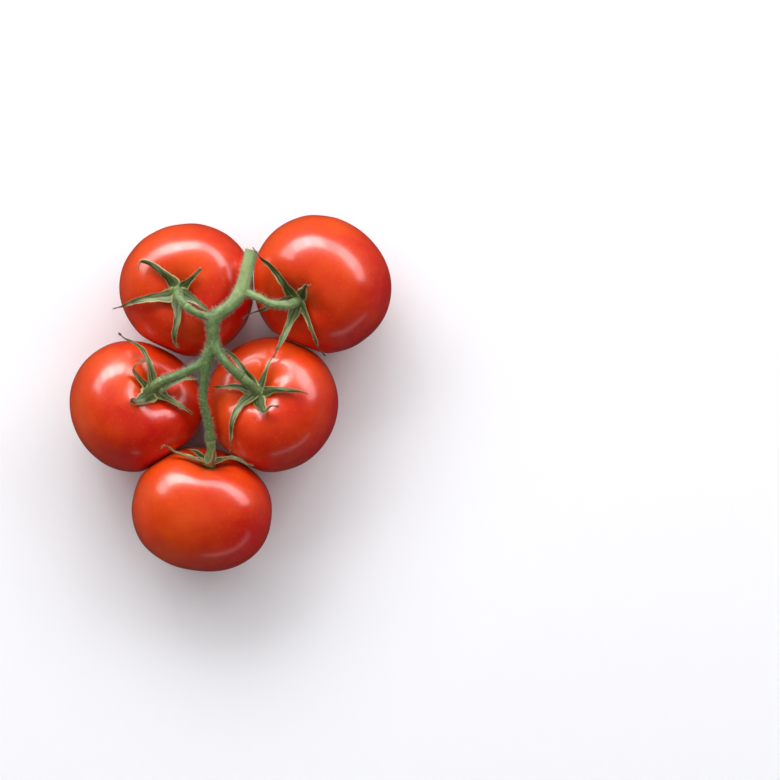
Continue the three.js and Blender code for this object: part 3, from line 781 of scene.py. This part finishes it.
def sepal_shell(fruit, blade, seed, rows, columns):
    """One sepal: a fleshy blade with a midrib, rolled margins and a dried, turned tip"""
    width, fold, twist, dry_share, along = blade
    draw = np.random.default_rng(seed)
    phase = draw.uniform(0, 2 * math.pi, 3)
    at = np.linspace(0, 1, rows)
    root = (along[0][0], SEPAL_ROOT, along[0][2])
    middles = curve_through([over_skin(fruit, *point) for point in [root, *along]], at)
    _, up, side = directions(middles, fruit["lean"] @ (0, 0, 1))
    travelled = np.concatenate([[0], np.cumsum(np.linalg.norm(np.diff(middles, axis=0), axis=1))])
    dried = smooth_step(at, *(1 - reach * dry_share for reach in DRY_FADE))
    shrunk = 1 - DRY_SHRINK * dried
    flare = ROOT_FLARE * bell(travelled - ROOT_FLARE_AT, ROOT_FLARE_REACH)
    knob = KNOB * dry_share * bell(travelled[-1] - travelled - KNOB_REACH, KNOB_REACH)
    uneven = 1 + UNEVEN_SHARE * np.sin(travelled * UNEVEN_TURN + phase[0])
    half = flare + knob + sepal_half_width(width, at) * shrunk * uneven
    turn = np.radians(twist * at + DRY_TWIST * math.copysign(1, phase[1] - math.pi) * dried**2)[:, None]
    across = side * np.cos(turn) - up * np.sin(turn)
    over = up * np.cos(turn) + side * np.sin(turn)

    place_across = np.sin(np.linspace(-math.pi / 2, math.pi / 2, columns))
    wide = np.abs(place_across)[None, :]
    thickness = MARGIN_THICKNESS + (MIDRIB_THICKNESS - MARGIN_THICKNESS) * (1 - wide**FLESH_POWER)
    thinning = TIP_THINNESS + (1 - TIP_THINNESS) * smooth_step(1 - at, 0, THINNING_SHARE)
    thickness = thickness * thinning[:, None]
    rounding = np.sqrt(np.clip(1 - wide**EDGE_POWER, 0, 1))
    trough = np.sqrt(wide**2 + TROUGH_SOFTNESS) * fold
    curl = MARGIN_CURL * wide**4 * math.copysign(1, fold) * smooth_step(at, *CURL_FROM)[:, None]
    ripple = 2 * math.pi * travelled / WAVE_LENGTH + phase[2] + place_across[:, None] * WAVE_LAG
    wave = WAVE_HEIGHT * wide**2 * np.sin(ripple).T
    vein = VEIN_HEIGHT * np.cos(VEIN_COUNT * math.pi * place_across)[None, :]
    vein = vein * smooth_step(1 - at, 0, VEIN_FADE)[:, None]
    groove = -GROOVE_DEPTH * bell(place_across, GROOVE_SPREAD)[None, :]
    rise = half[:, None] * (trough + curl + wave)
    top = rise + thickness * rounding / 2 + vein * rounding + groove
    bottom = rise - thickness * rounding / 2
    sideways = place_across[None, :] * half[:, None]

    spread = np.concatenate([sideways, sideways[:, ::-1]], axis=1)[..., None]
    height = np.concatenate([top, bottom[:, ::-1]], axis=1)[..., None]
    rings = middles[:, None] + across[:, None] * spread + over[:, None] * height
    margin = np.concatenate([wide, wide[:, ::-1]], axis=1)
    below = np.concatenate([np.zeros(columns), np.ones(columns)])[None, :]
    shell = loft(
        rings,
        dryness=np.clip(dried[:, None] + 0 * margin, 0, 1),
        margin=margin + 0 * at[:, None],
        underside=below + 0 * at[:, None],
        youth=smooth_step(at, YOUNG_SHARE, 0.0)[:, None] + 0 * margin,
        along=travelled[:, None] + 0 * margin,
        across=spread[..., 0],
        paleness=smooth_step(fold, *PALE_FOLDS) + 0 * margin,
        darkness=fruit["dried"] + 0 * margin,
    )
    edges = [(rings[2:-2, column], sign * across[2:-2]) for column, sign in ((0, -1), (columns - 1, 1))]
    return shell, edges


def sepal_hairs(edges, count, thickness, seed):
    """Short hairs along a sepal's two margins"""
    draw = np.random.default_rng(seed)
    roots = np.vstack([points for points, _ in edges])
    outward = np.vstack([heading for _, heading in edges])
    chosen = draw.integers(0, len(roots), count)
    headings = unit(outward[chosen] + draw.normal(scale=MARGIN_HAIR_SCATTER, size=(count, 3)))
    lengths = MARGIN_HAIR * draw.uniform(*MARGIN_HAIR_RANGE, count)
    return hair_shell(roots[chosen], headings, lengths, thickness)


# Materials

def fine_relief(tree, width, detail, depth, strength):
    """The pores, down or tooth of a surface, from their width and depth in millimetres"""
    place_on = add_node(tree, "TexCoord", "Object")
    noise = add_node(tree, "TexNoise", "Fac", Vector=place_on, Scale=per_metre(width), Detail=detail)
    return add_node(tree, "Bump", "Normal", Strength=strength, Distance=depth * MM, Height=noise)


def ripe_skin(tree, settings):
    """Ripe tomato skin, a taut waxy cuticle over wet red flesh: a satin gloss whose highlights
    have soft edges, and light that goes a few millimetres in and comes back orange."""
    place_on = add_node(tree, "TexCoord", "Object")
    redness, from_stem, from_base = (
        add_node(tree, "Attribute", "Fac", {"attribute_name": name})
        for name in ("redness", "from_stem", "from_base")
    )
    # Flesh of uneven colour shows through the skin in blotches about 6 mm wide
    blotch = add_node(tree, "TexNoise", "Fac", Vector=place_on, Scale=per_metre(6), Detail=3.0)
    shift = add_node(
        tree, "MapRange", "Result", Value=blotch, From_Min=0.3, From_Max=0.7, To_Min=-0.13, To_Max=0.13)
    deep = add_node(
        tree, "Math", "Value", {"operation": "ADD", "use_clamp": True}, Value=redness, Value_001=shift)
    # Pale specks lie about 2 mm apart; they are drawn 0.5 mm wide to show
    speck_at = add_node(
        tree, "TexVoronoi", "Distance", Vector=place_on, Scale=per_metre(2.1), Randomness=1.0)
    speck = add_node(
        tree, "MapRange", "Result", SMOOTH,
        Value=speck_at, From_Min=0.08, From_Max=0.3, To_Min=settings.specks, To_Max=0.0)
    # Cork has formed in a ring where the stem joins, and in a spot where the blossom was
    cork_grain = add_node(tree, "TexNoise", "Fac", Vector=place_on, Scale=per_metre(1), Detail=4.0)
    spots = []
    for distance, uneven, inner, outer in ((from_stem, 2.4, 3.6, 4.8), (from_base, 1.6, 1.5, 2.2)):
        edge = add_node(
            tree, "Math", "Value", MULTIPLY_ADD, Value=cork_grain, Value_001=uneven, Value_002=distance)
        spots.append(add_node(
            tree, "MapRange", "Result", SMOOTH,
            Value=edge, From_Min=inner, From_Max=outer, To_Min=1.0, To_Max=0.0))
    cork = add_node(tree, "Math", "Value", {"operation": "MAXIMUM"}, Value=spots[0], Value_001=spots[1])
    # The red share carries ripeness and blotches, and painted shade: the side away from the windows is
    # painted red, the side facing them orange
    colour = settings.orange
    for share, over in ((deep, settings.red), (speck, settings.speck), (cork, settings.cork)):
        colour = add_node(
            tree, "Mix", "Result_Color", BLEND, Factor_Float=share, A_Color=colour, B_Color=over)
    bloom = add_node(tree, "TexNoise", "Fac", Vector=place_on, Scale=per_metre(3.5), Detail=5.0)
    satin = add_node(
        tree, "MapRange", "Result", Value=bloom, From_Min=0.3, From_Max=0.7,
        To_Min=settings.roughness - 0.03, To_Max=settings.roughness + 0.04)
    rough = add_node(
        tree, "Math", "Value", {"operation": "MULTIPLY_ADD", "use_clamp": True},
        Value=cork, Value_001=0.5, Value_002=satin)
    pores = fine_relief(tree, width=0.9, detail=2.0, depth=0.06, strength=0.22)
    return add_node(
        tree, "BsdfPrincipled", "BSDF", Base_Color=colour, Roughness=rough, IOR=1.45, Normal=pores,
        Subsurface_Weight=0.2, Subsurface_Radius=(1.0, 0.22, 0.1), Subsurface_Scale=3 * MM,
        Specular_IOR_Level=0.25, Coat_Weight=1.0, Coat_Roughness=0.2, Coat_IOR=1.5)


def sepal_leaf(tree, settings):
    """Tomato sepal, a thick downy leaf with veins along it: matt dark olive on its face, sage where
    it folds into a trough or shows its underside, with tan margins, and brown where it has dried."""
    dryness, margin, underside, youth, along, across, paleness, darkness = (
        add_node(tree, "Attribute", "Fac", {"attribute_name": name})
        for name in ("dryness", "margin", "underside", "youth", "along", "across", "paleness", "darkness")
    )
    # Streaks between the veins are about 9 mm long and 1.3 mm wide
    lengthwise = add_node(tree, "Math", "Value", {"operation": "DIVIDE"}, Value=along, Value_001=9.0)
    crosswise = add_node(tree, "Math", "Value", {"operation": "DIVIDE"}, Value=across, Value_001=1.3)
    streak_at = add_node(tree, "CombineXYZ", "Vector", X=lengthwise, Y=crosswise, Z=dryness)
    streak = add_node(tree, "TexNoise", "Fac", Vector=streak_at, Scale=1.0, Detail=3.0)
    shift = add_node(
        tree, "MapRange", "Result", Value=streak, From_Min=0.36, From_Max=0.62, To_Min=-0.62, To_Max=0.35)
    turned = add_node(tree, "Math", "Value", {"operation": "MAXIMUM"}, Value=underside, Value_001=paleness)
    lightness = add_node(
        tree, "Math", "Value", {"operation": "MULTIPLY_ADD", "use_clamp": True},
        Value=turned, Value_001=0.65, Value_002=shift)
    edge_wobble = add_node(
        tree, "Math", "Value", MULTIPLY_ADD, Value=streak, Value_001=0.3, Value_002=margin)
    edge = add_node(
        tree, "MapRange", "Result", SMOOTH,
        Value=edge_wobble, From_Min=0.84, From_Max=1.08, To_Min=0.0, To_Max=0.85)
    dry_wobble = add_node(
        tree, "Math", "Value", {"operation": "MULTIPLY_ADD", "use_clamp": True},
        Value=streak, Value_001=0.5, Value_002=dryness)
    dry = add_node(
        tree, "MapRange", "Result", SMOOTH,
        Value=dry_wobble, From_Min=0.3, From_Max=0.85, To_Min=0.0, To_Max=0.95)
    husk = add_node(
        tree, "Mix", "Result_Color", BLEND,
        Factor_Float=darkness, A_Color=settings.dry, B_Color=settings.withered)
    colour = settings.green
    layers = ((lightness, settings.sage), (youth, settings.young), (edge, settings.margin), (dry, husk))
    for share, over in layers:
        colour = add_node(
            tree, "Mix", "Result_Color", BLEND, Factor_Float=share, A_Color=colour, B_Color=over)
    down = fine_relief(tree, width=0.45, detail=3.0, depth=0.12, strength=0.5)
    return add_node(
        tree, "BsdfPrincipled", "BSDF", Base_Color=colour, Roughness=0.62, IOR=1.42, Normal=down,
        Subsurface_Weight=0.08, Subsurface_Radius=(0.5, 1.0, 0.25), Subsurface_Scale=0.8 * MM)


def fresh_stalk(tree, settings):
    """Fresh cut tomato stalk, a juicy ridged stem under fine down: pale green and satin near the
    cut, greener and duller further down, with tan rings at the knuckles."""
    place_on = add_node(tree, "TexCoord", "Object")
    age, crease, cut, rim = (
        add_node(tree, "Attribute", "Fac", {"attribute_name": name})
        for name in ("age", "to_knuckle", "cut", "rim")
    )
    # Streaks and patches of the green under the skin, about 2.5 mm wide
    patch = add_node(tree, "TexNoise", "Fac", Vector=place_on, Scale=per_metre(2.5), Detail=5.0)
    shift = add_node(
        tree, "MapRange", "Result", Value=patch, From_Min=0.3, From_Max=0.7, To_Min=-0.3, To_Max=0.3)
    depth = add_node(
        tree, "Math", "Value", {"operation": "ADD", "use_clamp": True}, Value=age, Value_001=shift)
    fleck_at = add_node(
        tree, "TexVoronoi", "Distance", Vector=place_on, Scale=per_metre(1.8), Randomness=1.0)
    fleck = add_node(
        tree, "MapRange", "Result", SMOOTH,
        Value=fleck_at, From_Min=0.08, From_Max=0.2, To_Min=0.55, To_Max=0.0)
    ring = add_node(
        tree, "MapRange", "Result", SMOOTH,
        Value=crease, From_Min=0.2, From_Max=0.9, To_Min=0.3, To_Max=0.0)
    # Sap has dried dark in spots about 2 mm apart on the rim of the cut
    spot = add_node(
        tree, "MapRange", "Result", SMOOTH,
        Value=patch, From_Min=0.42, From_Max=0.56, To_Min=0.3, To_Max=1.0)
    dried = add_node(tree, "Math", "Value", {"operation": "MULTIPLY"}, Value=rim, Value_001=spot)
    colour = settings.pale
    layers = (
        (depth, settings.green), (fleck, settings.fleck), (ring, settings.ring), (cut, settings.pith),
        (dried, settings.sap),
    )
    for share, over in layers:
        colour = add_node(
            tree, "Mix", "Result_Color", BLEND, Factor_Float=share, A_Color=colour, B_Color=over)
    down = fine_relief(tree, width=0.5, detail=3.0, depth=0.1, strength=0.35)
    return add_node(
        tree, "BsdfPrincipled", "BSDF", Base_Color=colour, Roughness=0.55, IOR=1.42, Normal=down,
        Subsurface_Weight=0.06, Subsurface_Radius=(0.6, 1.0, 0.3), Subsurface_Scale=1.0 * MM,
        Sheen_Weight=0.12, Sheen_Roughness=0.4)


def plant_hair(tree, settings):
    """Tomato down, clear hairs one or two millimetres long: pale where they catch the light."""
    tip = add_node(tree, "Attribute", "Fac", {"attribute_name": "tip"})
    colour = add_node(
        tree, "Mix", "Result_Color", BLEND,
        Factor_Float=tip, A_Color=settings.hair, B_Color=settings.hair_tip)
    return add_node(
        tree, "BsdfPrincipled", "BSDF", Base_Color=colour, Roughness=0.4, IOR=1.5, Transmission_Weight=0.25)


def studio_paper(tree, settings):
    """Seamless studio paper, matt and pale: it lights the fruit from below and shows soft shade."""
    tooth = fine_relief(tree, width=0.8, detail=2.0, depth=0.1, strength=0.05)
    return add_node(
        tree, "BsdfPrincipled", "BSDF",
        Base_Color=settings.floor, Roughness=0.9, Specular_IOR_Level=0.2, Normal=tooth)


# Settings that a user would change

def colour_property(name, description, hex_colour):
    return bpy.props.FloatVectorProperty(
        name=name, description=description, default=linear(hex_colour), size=4,
        subtype="COLOR", min=0, max=1)


class TrussStudioSettings(bpy.types.PropertyGroup):
    """The camera, the light and the floor"""

    camera_at: bpy.props.FloatVectorProperty(
        name="Camera place", description="Where the camera looks straight down from",
        default=(0.0742, 0.0014, 1.2), subtype="TRANSLATION", unit="LENGTH")
    lens: bpy.props.FloatProperty(
        name="Lens", description="Focal length in millimetres, for a sensor 36 mm wide",
        default=116.2, min=1)
    daylight: bpy.props.FloatProperty(
        name="Daylight", description="Power of the light from all the windows, in watts",
        default=122.0, min=0)
    gloss: bpy.props.FloatProperty(
        name="Gloss", description="Power of the windows as the gloss of a skin shows them, in watts",
        default=230.0, min=0)
    ceiling: bpy.props.FloatProperty(
        name="Ceiling light", description="Power of the light that fills the shade, in watts",
        default=52.0, min=0)
    surroundings: bpy.props.FloatProperty(
        name="Surroundings", description="Brightness of the plain surroundings", default=0.03, min=0)
    floor: colour_property("Floor", "Colour of the paper that the truss lies on", "#FCFCFA")


class TrussTomatoSettings(bpy.types.PropertyGroup):
    """The skins of the tomatoes"""

    rows: bpy.props.IntProperty(
        name="Rows", description="Facets from a tomato's base to its stem", default=128, min=16)
    columns: bpy.props.IntProperty(
        name="Columns", description="Facets round a tomato", default=180, min=24)
    roughness: bpy.props.FloatProperty(
        name="Roughness", description="How dull the wax on the skin is", default=0.38,
        min=0, max=1, subtype="FACTOR")
    specks: bpy.props.FloatProperty(
        name="Specks", description="How plainly the pale specks show", default=0.13,
        min=0, max=1, subtype="FACTOR")
    # The orange and red are mixed by ripeness and by painted shade: orange is painted on the side facing
    # the windows, red on the side away from them
    orange: colour_property("Orange", "Skin on the side that ripened in the sun", "#EC4E0C")
    red: colour_property("Red", "Skin on the side away from the sun", "#CC0B05")
    speck: colour_property("Speck", "The pale specks", "#F58A52")
    cork: colour_property("Cork", "The ring at the stem and the scar at the base", "#9A7A4A")


class TrussCalyxSettings(bpy.types.PropertyGroup):
    """The calyces with their sepals"""

    rows: bpy.props.IntProperty(
        name="Rows", description="Facets along a sepal", default=72, min=12)
    columns: bpy.props.IntProperty(
        name="Columns", description="Facets across each face of a sepal", default=17, min=5)
    hairs: bpy.props.IntProperty(
        name="Hairs", description="Hairs on the margins of one sepal", default=150, min=0)
    green: colour_property("Green", "The face of a sepal", "#3F4E1C")
    sage: colour_property("Sage", "The underside, and the inside of a trough", "#95A272")
    young: colour_property("Young green", "The root of a sepal", "#6F8A34")
    margin: colour_property("Margin", "The thin dry margin", "#C8B57C")
    dry: colour_property("Dry", "A tip that has dried lately", "#8A6238")
    withered: colour_property("Withered", "A tip that dried long ago", "#2C1E12")


class TrussStalkSettings(bpy.types.PropertyGroup):
    """The stalk, and the stalk ends that belong to the calyces"""

    grain: bpy.props.FloatProperty(
        name="Grain", description="Size of the facets of a stem, in millimetres", default=0.36, min=0.1)
    hairs: bpy.props.IntProperty(
        name="Hairs", description="Hairs on the stalk", default=5600, min=0)
    hair_length: bpy.props.FloatProperty(
        name="Hair length", description="Length of a hair, in millimetres", default=1.9, min=0)
    hair_thickness: bpy.props.FloatProperty(
        name="Hair thickness", description="Thickness of a hair at its root, in millimetres",
        default=0.085, min=0)
    pale: colour_property("Pale green", "The stalk near its cut end", "#A2BA7A")
    green: colour_property("Green", "The stalk near its last fruit", "#56733A")
    fleck: colour_property("Fleck", "Small light flecks", "#C5CC9C")
    ring: colour_property("Ring", "The corky ring at a knuckle", "#A08A58")
    pith: colour_property("Pith", "The cut face", "#C9CBA0")
    sap: colour_property("Dried sap", "Dark spots on the rim of the cut", "#26200F")
    hair: colour_property("Hair", "A hair's root", "#B9C49A")
    hair_tip: colour_property("Hair tip", "A hair's tip", "#F0EEDC")


# Operators

class TRUSS_OT_studio(bpy.types.Operator):
    """Make the floor, the light and a camera that looks straight down"""

    bl_idname = "truss.studio"
    bl_label = "Studio"

    def execute(self, context):
        settings = context.scene.truss_studio
        self.add_floor(context, settings)
        self.add_surroundings(context, settings)
        for compass, share in DAYLIGHT:
            heading = self.heading(compass, DAYLIGHT_ELEVATION)
            power = settings.daylight * share
            lamp = self.add_light(context, "daylight", heading, WINDOW_DISTANCE, WINDOW_SIZE, power)
            lamp.visible_glossy = False
        for compass, elevation, size, share in PANES:
            heading = self.heading(compass, elevation)
            power = settings.gloss * share
            pane = self.add_light(context, "pane", heading, WINDOW_DISTANCE, size, power)
            pane.visible_diffuse = False
        self.add_ceiling(context, settings)
        self.add_camera(context, settings)
        return {"FINISHED"}

    def add_floor(self, context, settings):
        mesh = bpy.data.meshes.new("paper")
        corners = [(x * FLOOR_REACH, y * FLOOR_REACH, 0) for x, y in ((-1, -1), (1, -1), (1, 1), (-1, 1))]
        mesh.from_pydata(corners, [], [(0, 1, 2, 3)])
        mesh.materials.append(new_material("studio_paper", studio_paper, settings))
        floor = bpy.data.objects.new("paper", mesh)
        context.scene.collection.objects.link(floor)
        floor.visible_glossy = False

    def add_surroundings(self, context, settings):
        world = bpy.data.worlds.new("surroundings")
        world.use_nodes = True
        world.node_tree.nodes.clear()
        light = add_node(
            world.node_tree, "Background", "Background",
            Color=linear("#FFFFFF"), Strength=settings.surroundings)
        add_node(world.node_tree, "OutputWorld", None, Surface=light)
        context.scene.world = world
        context.scene.view_settings.view_transform = "Standard"

    def add_light(self, context, name, heading, distance, size, power):
        """A broad soft light that stands off in one direction from the truss, and faces it"""
        light = bpy.data.lights.new(name, "AREA")
        light.shape = "RECTANGLE"
        light.size, light.size_y = size
        light.energy = power
        light.color = linear(WINDOW_COLOUR)[:3]
        lamp = bpy.data.objects.new(name, light)
        lamp.location = heading * distance
        lamp.rotation_mode = "QUATERNION"
        lamp.rotation_quaternion = heading.to_track_quat("Z", "Y")
        context.scene.collection.objects.link(lamp)
        return lamp

    def heading(self, compass, elevation):
        turn, rise = math.radians(compass), math.radians(elevation)
        return Vector((math.cos(turn) * math.cos(rise), math.sin(turn) * math.cos(rise), math.sin(rise)))

    def add_ceiling(self, context, settings):
        """A pale ceiling: it fills the shade, but is kept off the gloss of the skins"""
        up = Vector((0, 0, 1))
        lamp = self.add_light(context, "ceiling", up, CEILING_HEIGHT, CEILING_SIZE, settings.ceiling)
        lamp.visible_glossy = False

    def add_camera(self, context, settings):
        data = bpy.data.cameras.new("camera")
        data.sensor_width = SENSOR_WIDTH
        data.lens = settings.lens
        camera = bpy.data.objects.new("camera", data)
        camera.location = settings.camera_at
        context.scene.collection.objects.link(camera)
        context.scene.camera = camera


class TRUSS_OT_tomatoes(bpy.types.Operator):
    """Make the skins of the five tomatoes"""

    bl_idname = "truss.tomatoes"
    bl_label = "Tomatoes"

    def execute(self, context):
        settings = context.scene.truss_tomato
        material = new_material("ripe_skin", ripe_skin, settings)
        for seed, name in enumerate(TOMATOES):
            shell = tomato_skin(name, seed, settings.rows, settings.columns)
            make_piece(context, f"skin_{name}", f"tomato_{name}", [shell], [material])
        return {"FINISHED"}


class TRUSS_OT_calyces(bpy.types.Operator):
    """Make each fruit's calyx: its stalk end, receptacle, sepals and hairs"""

    bl_idname = "truss.calyces"
    bl_label = "Calyces"

    def execute(self, context):
        settings = context.scene.truss_calyx
        stem_settings = context.scene.truss_stalk
        leaf = new_material("sepal_leaf", sepal_leaf, settings)
        hair = new_material("calyx_hair", plant_hair, stem_settings)
        stem = new_material("calyx_stem", fresh_stalk, stem_settings)
        for number, name in enumerate(SEPALS):
            shells = [self.stalk_end(context, name, number, stem_settings)]
            for count, blade in enumerate(SEPALS[name]):
                seed = SEPAL_SEEDS * number + count
                shell, edges = sepal_shell(FRUIT[name], blade, seed, settings.rows, settings.columns)
                shells.append(shell)
                shells.append(sepal_hairs(edges, settings.hairs, stem_settings.hair_thickness, seed))
            make_piece(context, f"sepals_{name}", f"calyx_{name}", shells, [leaf, hair, stem])
        return {"FINISHED"}

    def stalk_end(self, context, name, number, settings):
        points, _, begins = knuckle_ends(name)
        run = {**stem_run(points, begins, 1), "knuckle_at": 0}
        shells = [stem_shell(run), receptacle(FRUIT[name])]
        skin, quads, _ = fuse(context, shells, settings.grain, CALYX_PASSES)
        moved, to_knuckle = stem_relief_at([run], skin, number)
        values = {"to_knuckle": to_knuckle, "age": np.full(len(skin), CALYX_AGE)}
        return {"points": moved, "faces": quads.tolist(), "values": values, "material": 2}


class TRUSS_OT_stalk(bpy.types.Operator):
    """Make the stalk with its side stalks, cut face and hairs"""

    bl_idname = "truss.stalk"
    bl_label = "Stalk"

    def execute(self, context):
        settings = context.scene.truss_stalk
        runs = []
        for name in STEMS:
            points, ends, _ = knuckle_ends(name)
            run = stem_run(points, 0, ends)
            if name != "end":
                run["half"] = run["half"] + FLARE * bell(run["travelled"], FLARE_REACH)
            runs.append({**run, "knuckle_at": run["length"]})
        runs.append({**stem_run(BUD_STUB), "knuckle_at": NO_KNUCKLE})
        shells = [stem_shell(run) for run in runs]
        skin, quads, normals = fuse(context, shells, settings.grain, STALK_PASSES)
        moved, to_knuckle = stem_relief_at(runs, skin, STALK_SEED)
        pushed, cut, rim = cut_face(runs[0], skin)
        moved += pushed
        along = runs[0]["middles"][:, 1]
        age = smooth_step(along.max() - skin[:, 1], PALE_REACH, GREEN_SHARE * (along.max() - along.min()))
        values = {"to_knuckle": to_knuckle, "age": age, "cut": cut, "rim": rim}
        shell = {"points": moved, "faces": quads.tolist(), "values": values, "material": 0}
        roots, outward, draw = scatter(moved, quads, normals, settings.hairs, HAIR_SEED)
        headings = unit(outward + draw.normal(scale=HAIR_SCATTER, size=outward.shape))
        lengths = settings.hair_length * draw.uniform(*HAIR_RANGE, len(roots))
        hairs = hair_shell(roots, headings, lengths, settings.hair_thickness)
        stem = new_material("fresh_stalk", fresh_stalk, settings)
        hair = new_material("stalk_hair", plant_hair, settings)
        make_piece(context, "stems", "stalk", [shell, hairs], [stem, hair])
        return {"FINISHED"}


class TRUSS_PT_panel(bpy.types.Panel):
    """Lists the steps that make the truss, with their settings"""

    bl_idname = "TRUSS_PT_panel"
    bl_label = "Tomato truss"
    bl_space_type = "VIEW_3D"
    bl_region_type = "UI"
    bl_category = "Truss"

    def draw(self, context):
        for operator, settings in STEPS:
            box = self.layout.box()
            box.operator(operator.bl_idname)
            group = getattr(context.scene, settings)
            for name in group.bl_rna.properties.keys():
                if name not in ("rna_type", "name"):
                    box.prop(group, name)


STEPS = [
    (TRUSS_OT_studio, "truss_studio"),
    (TRUSS_OT_tomatoes, "truss_tomato"),
    (TRUSS_OT_calyces, "truss_calyx"),
    (TRUSS_OT_stalk, "truss_stalk"),
]
SETTINGS = {
    "truss_studio": TrussStudioSettings,
    "truss_tomato": TrussTomatoSettings,
    "truss_calyx": TrussCalyxSettings,
    "truss_stalk": TrussStalkSettings,
}


def register():
    for name, group in SETTINGS.items():
        bpy.utils.register_class(group)
        setattr(bpy.types.Scene, name, bpy.props.PointerProperty(type=group))
    for operator, _ in STEPS:
        bpy.utils.register_class(operator)
    bpy.utils.register_class(TRUSS_PT_panel)


def unregister():
    bpy.utils.unregister_class(TRUSS_PT_panel)
    for operator, _ in reversed(STEPS):
        bpy.utils.unregister_class(operator)
    for name, group in reversed(SETTINGS.items()):
        delattr(bpy.types.Scene, name)
        bpy.utils.unregister_class(group)


def main():
    register()
    bpy.ops.truss.studio()
    bpy.ops.truss.tomatoes()
    bpy.ops.truss.calyces()
    bpy.ops.truss.stalk()
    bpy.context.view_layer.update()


if __name__ == "__main__":
    main()
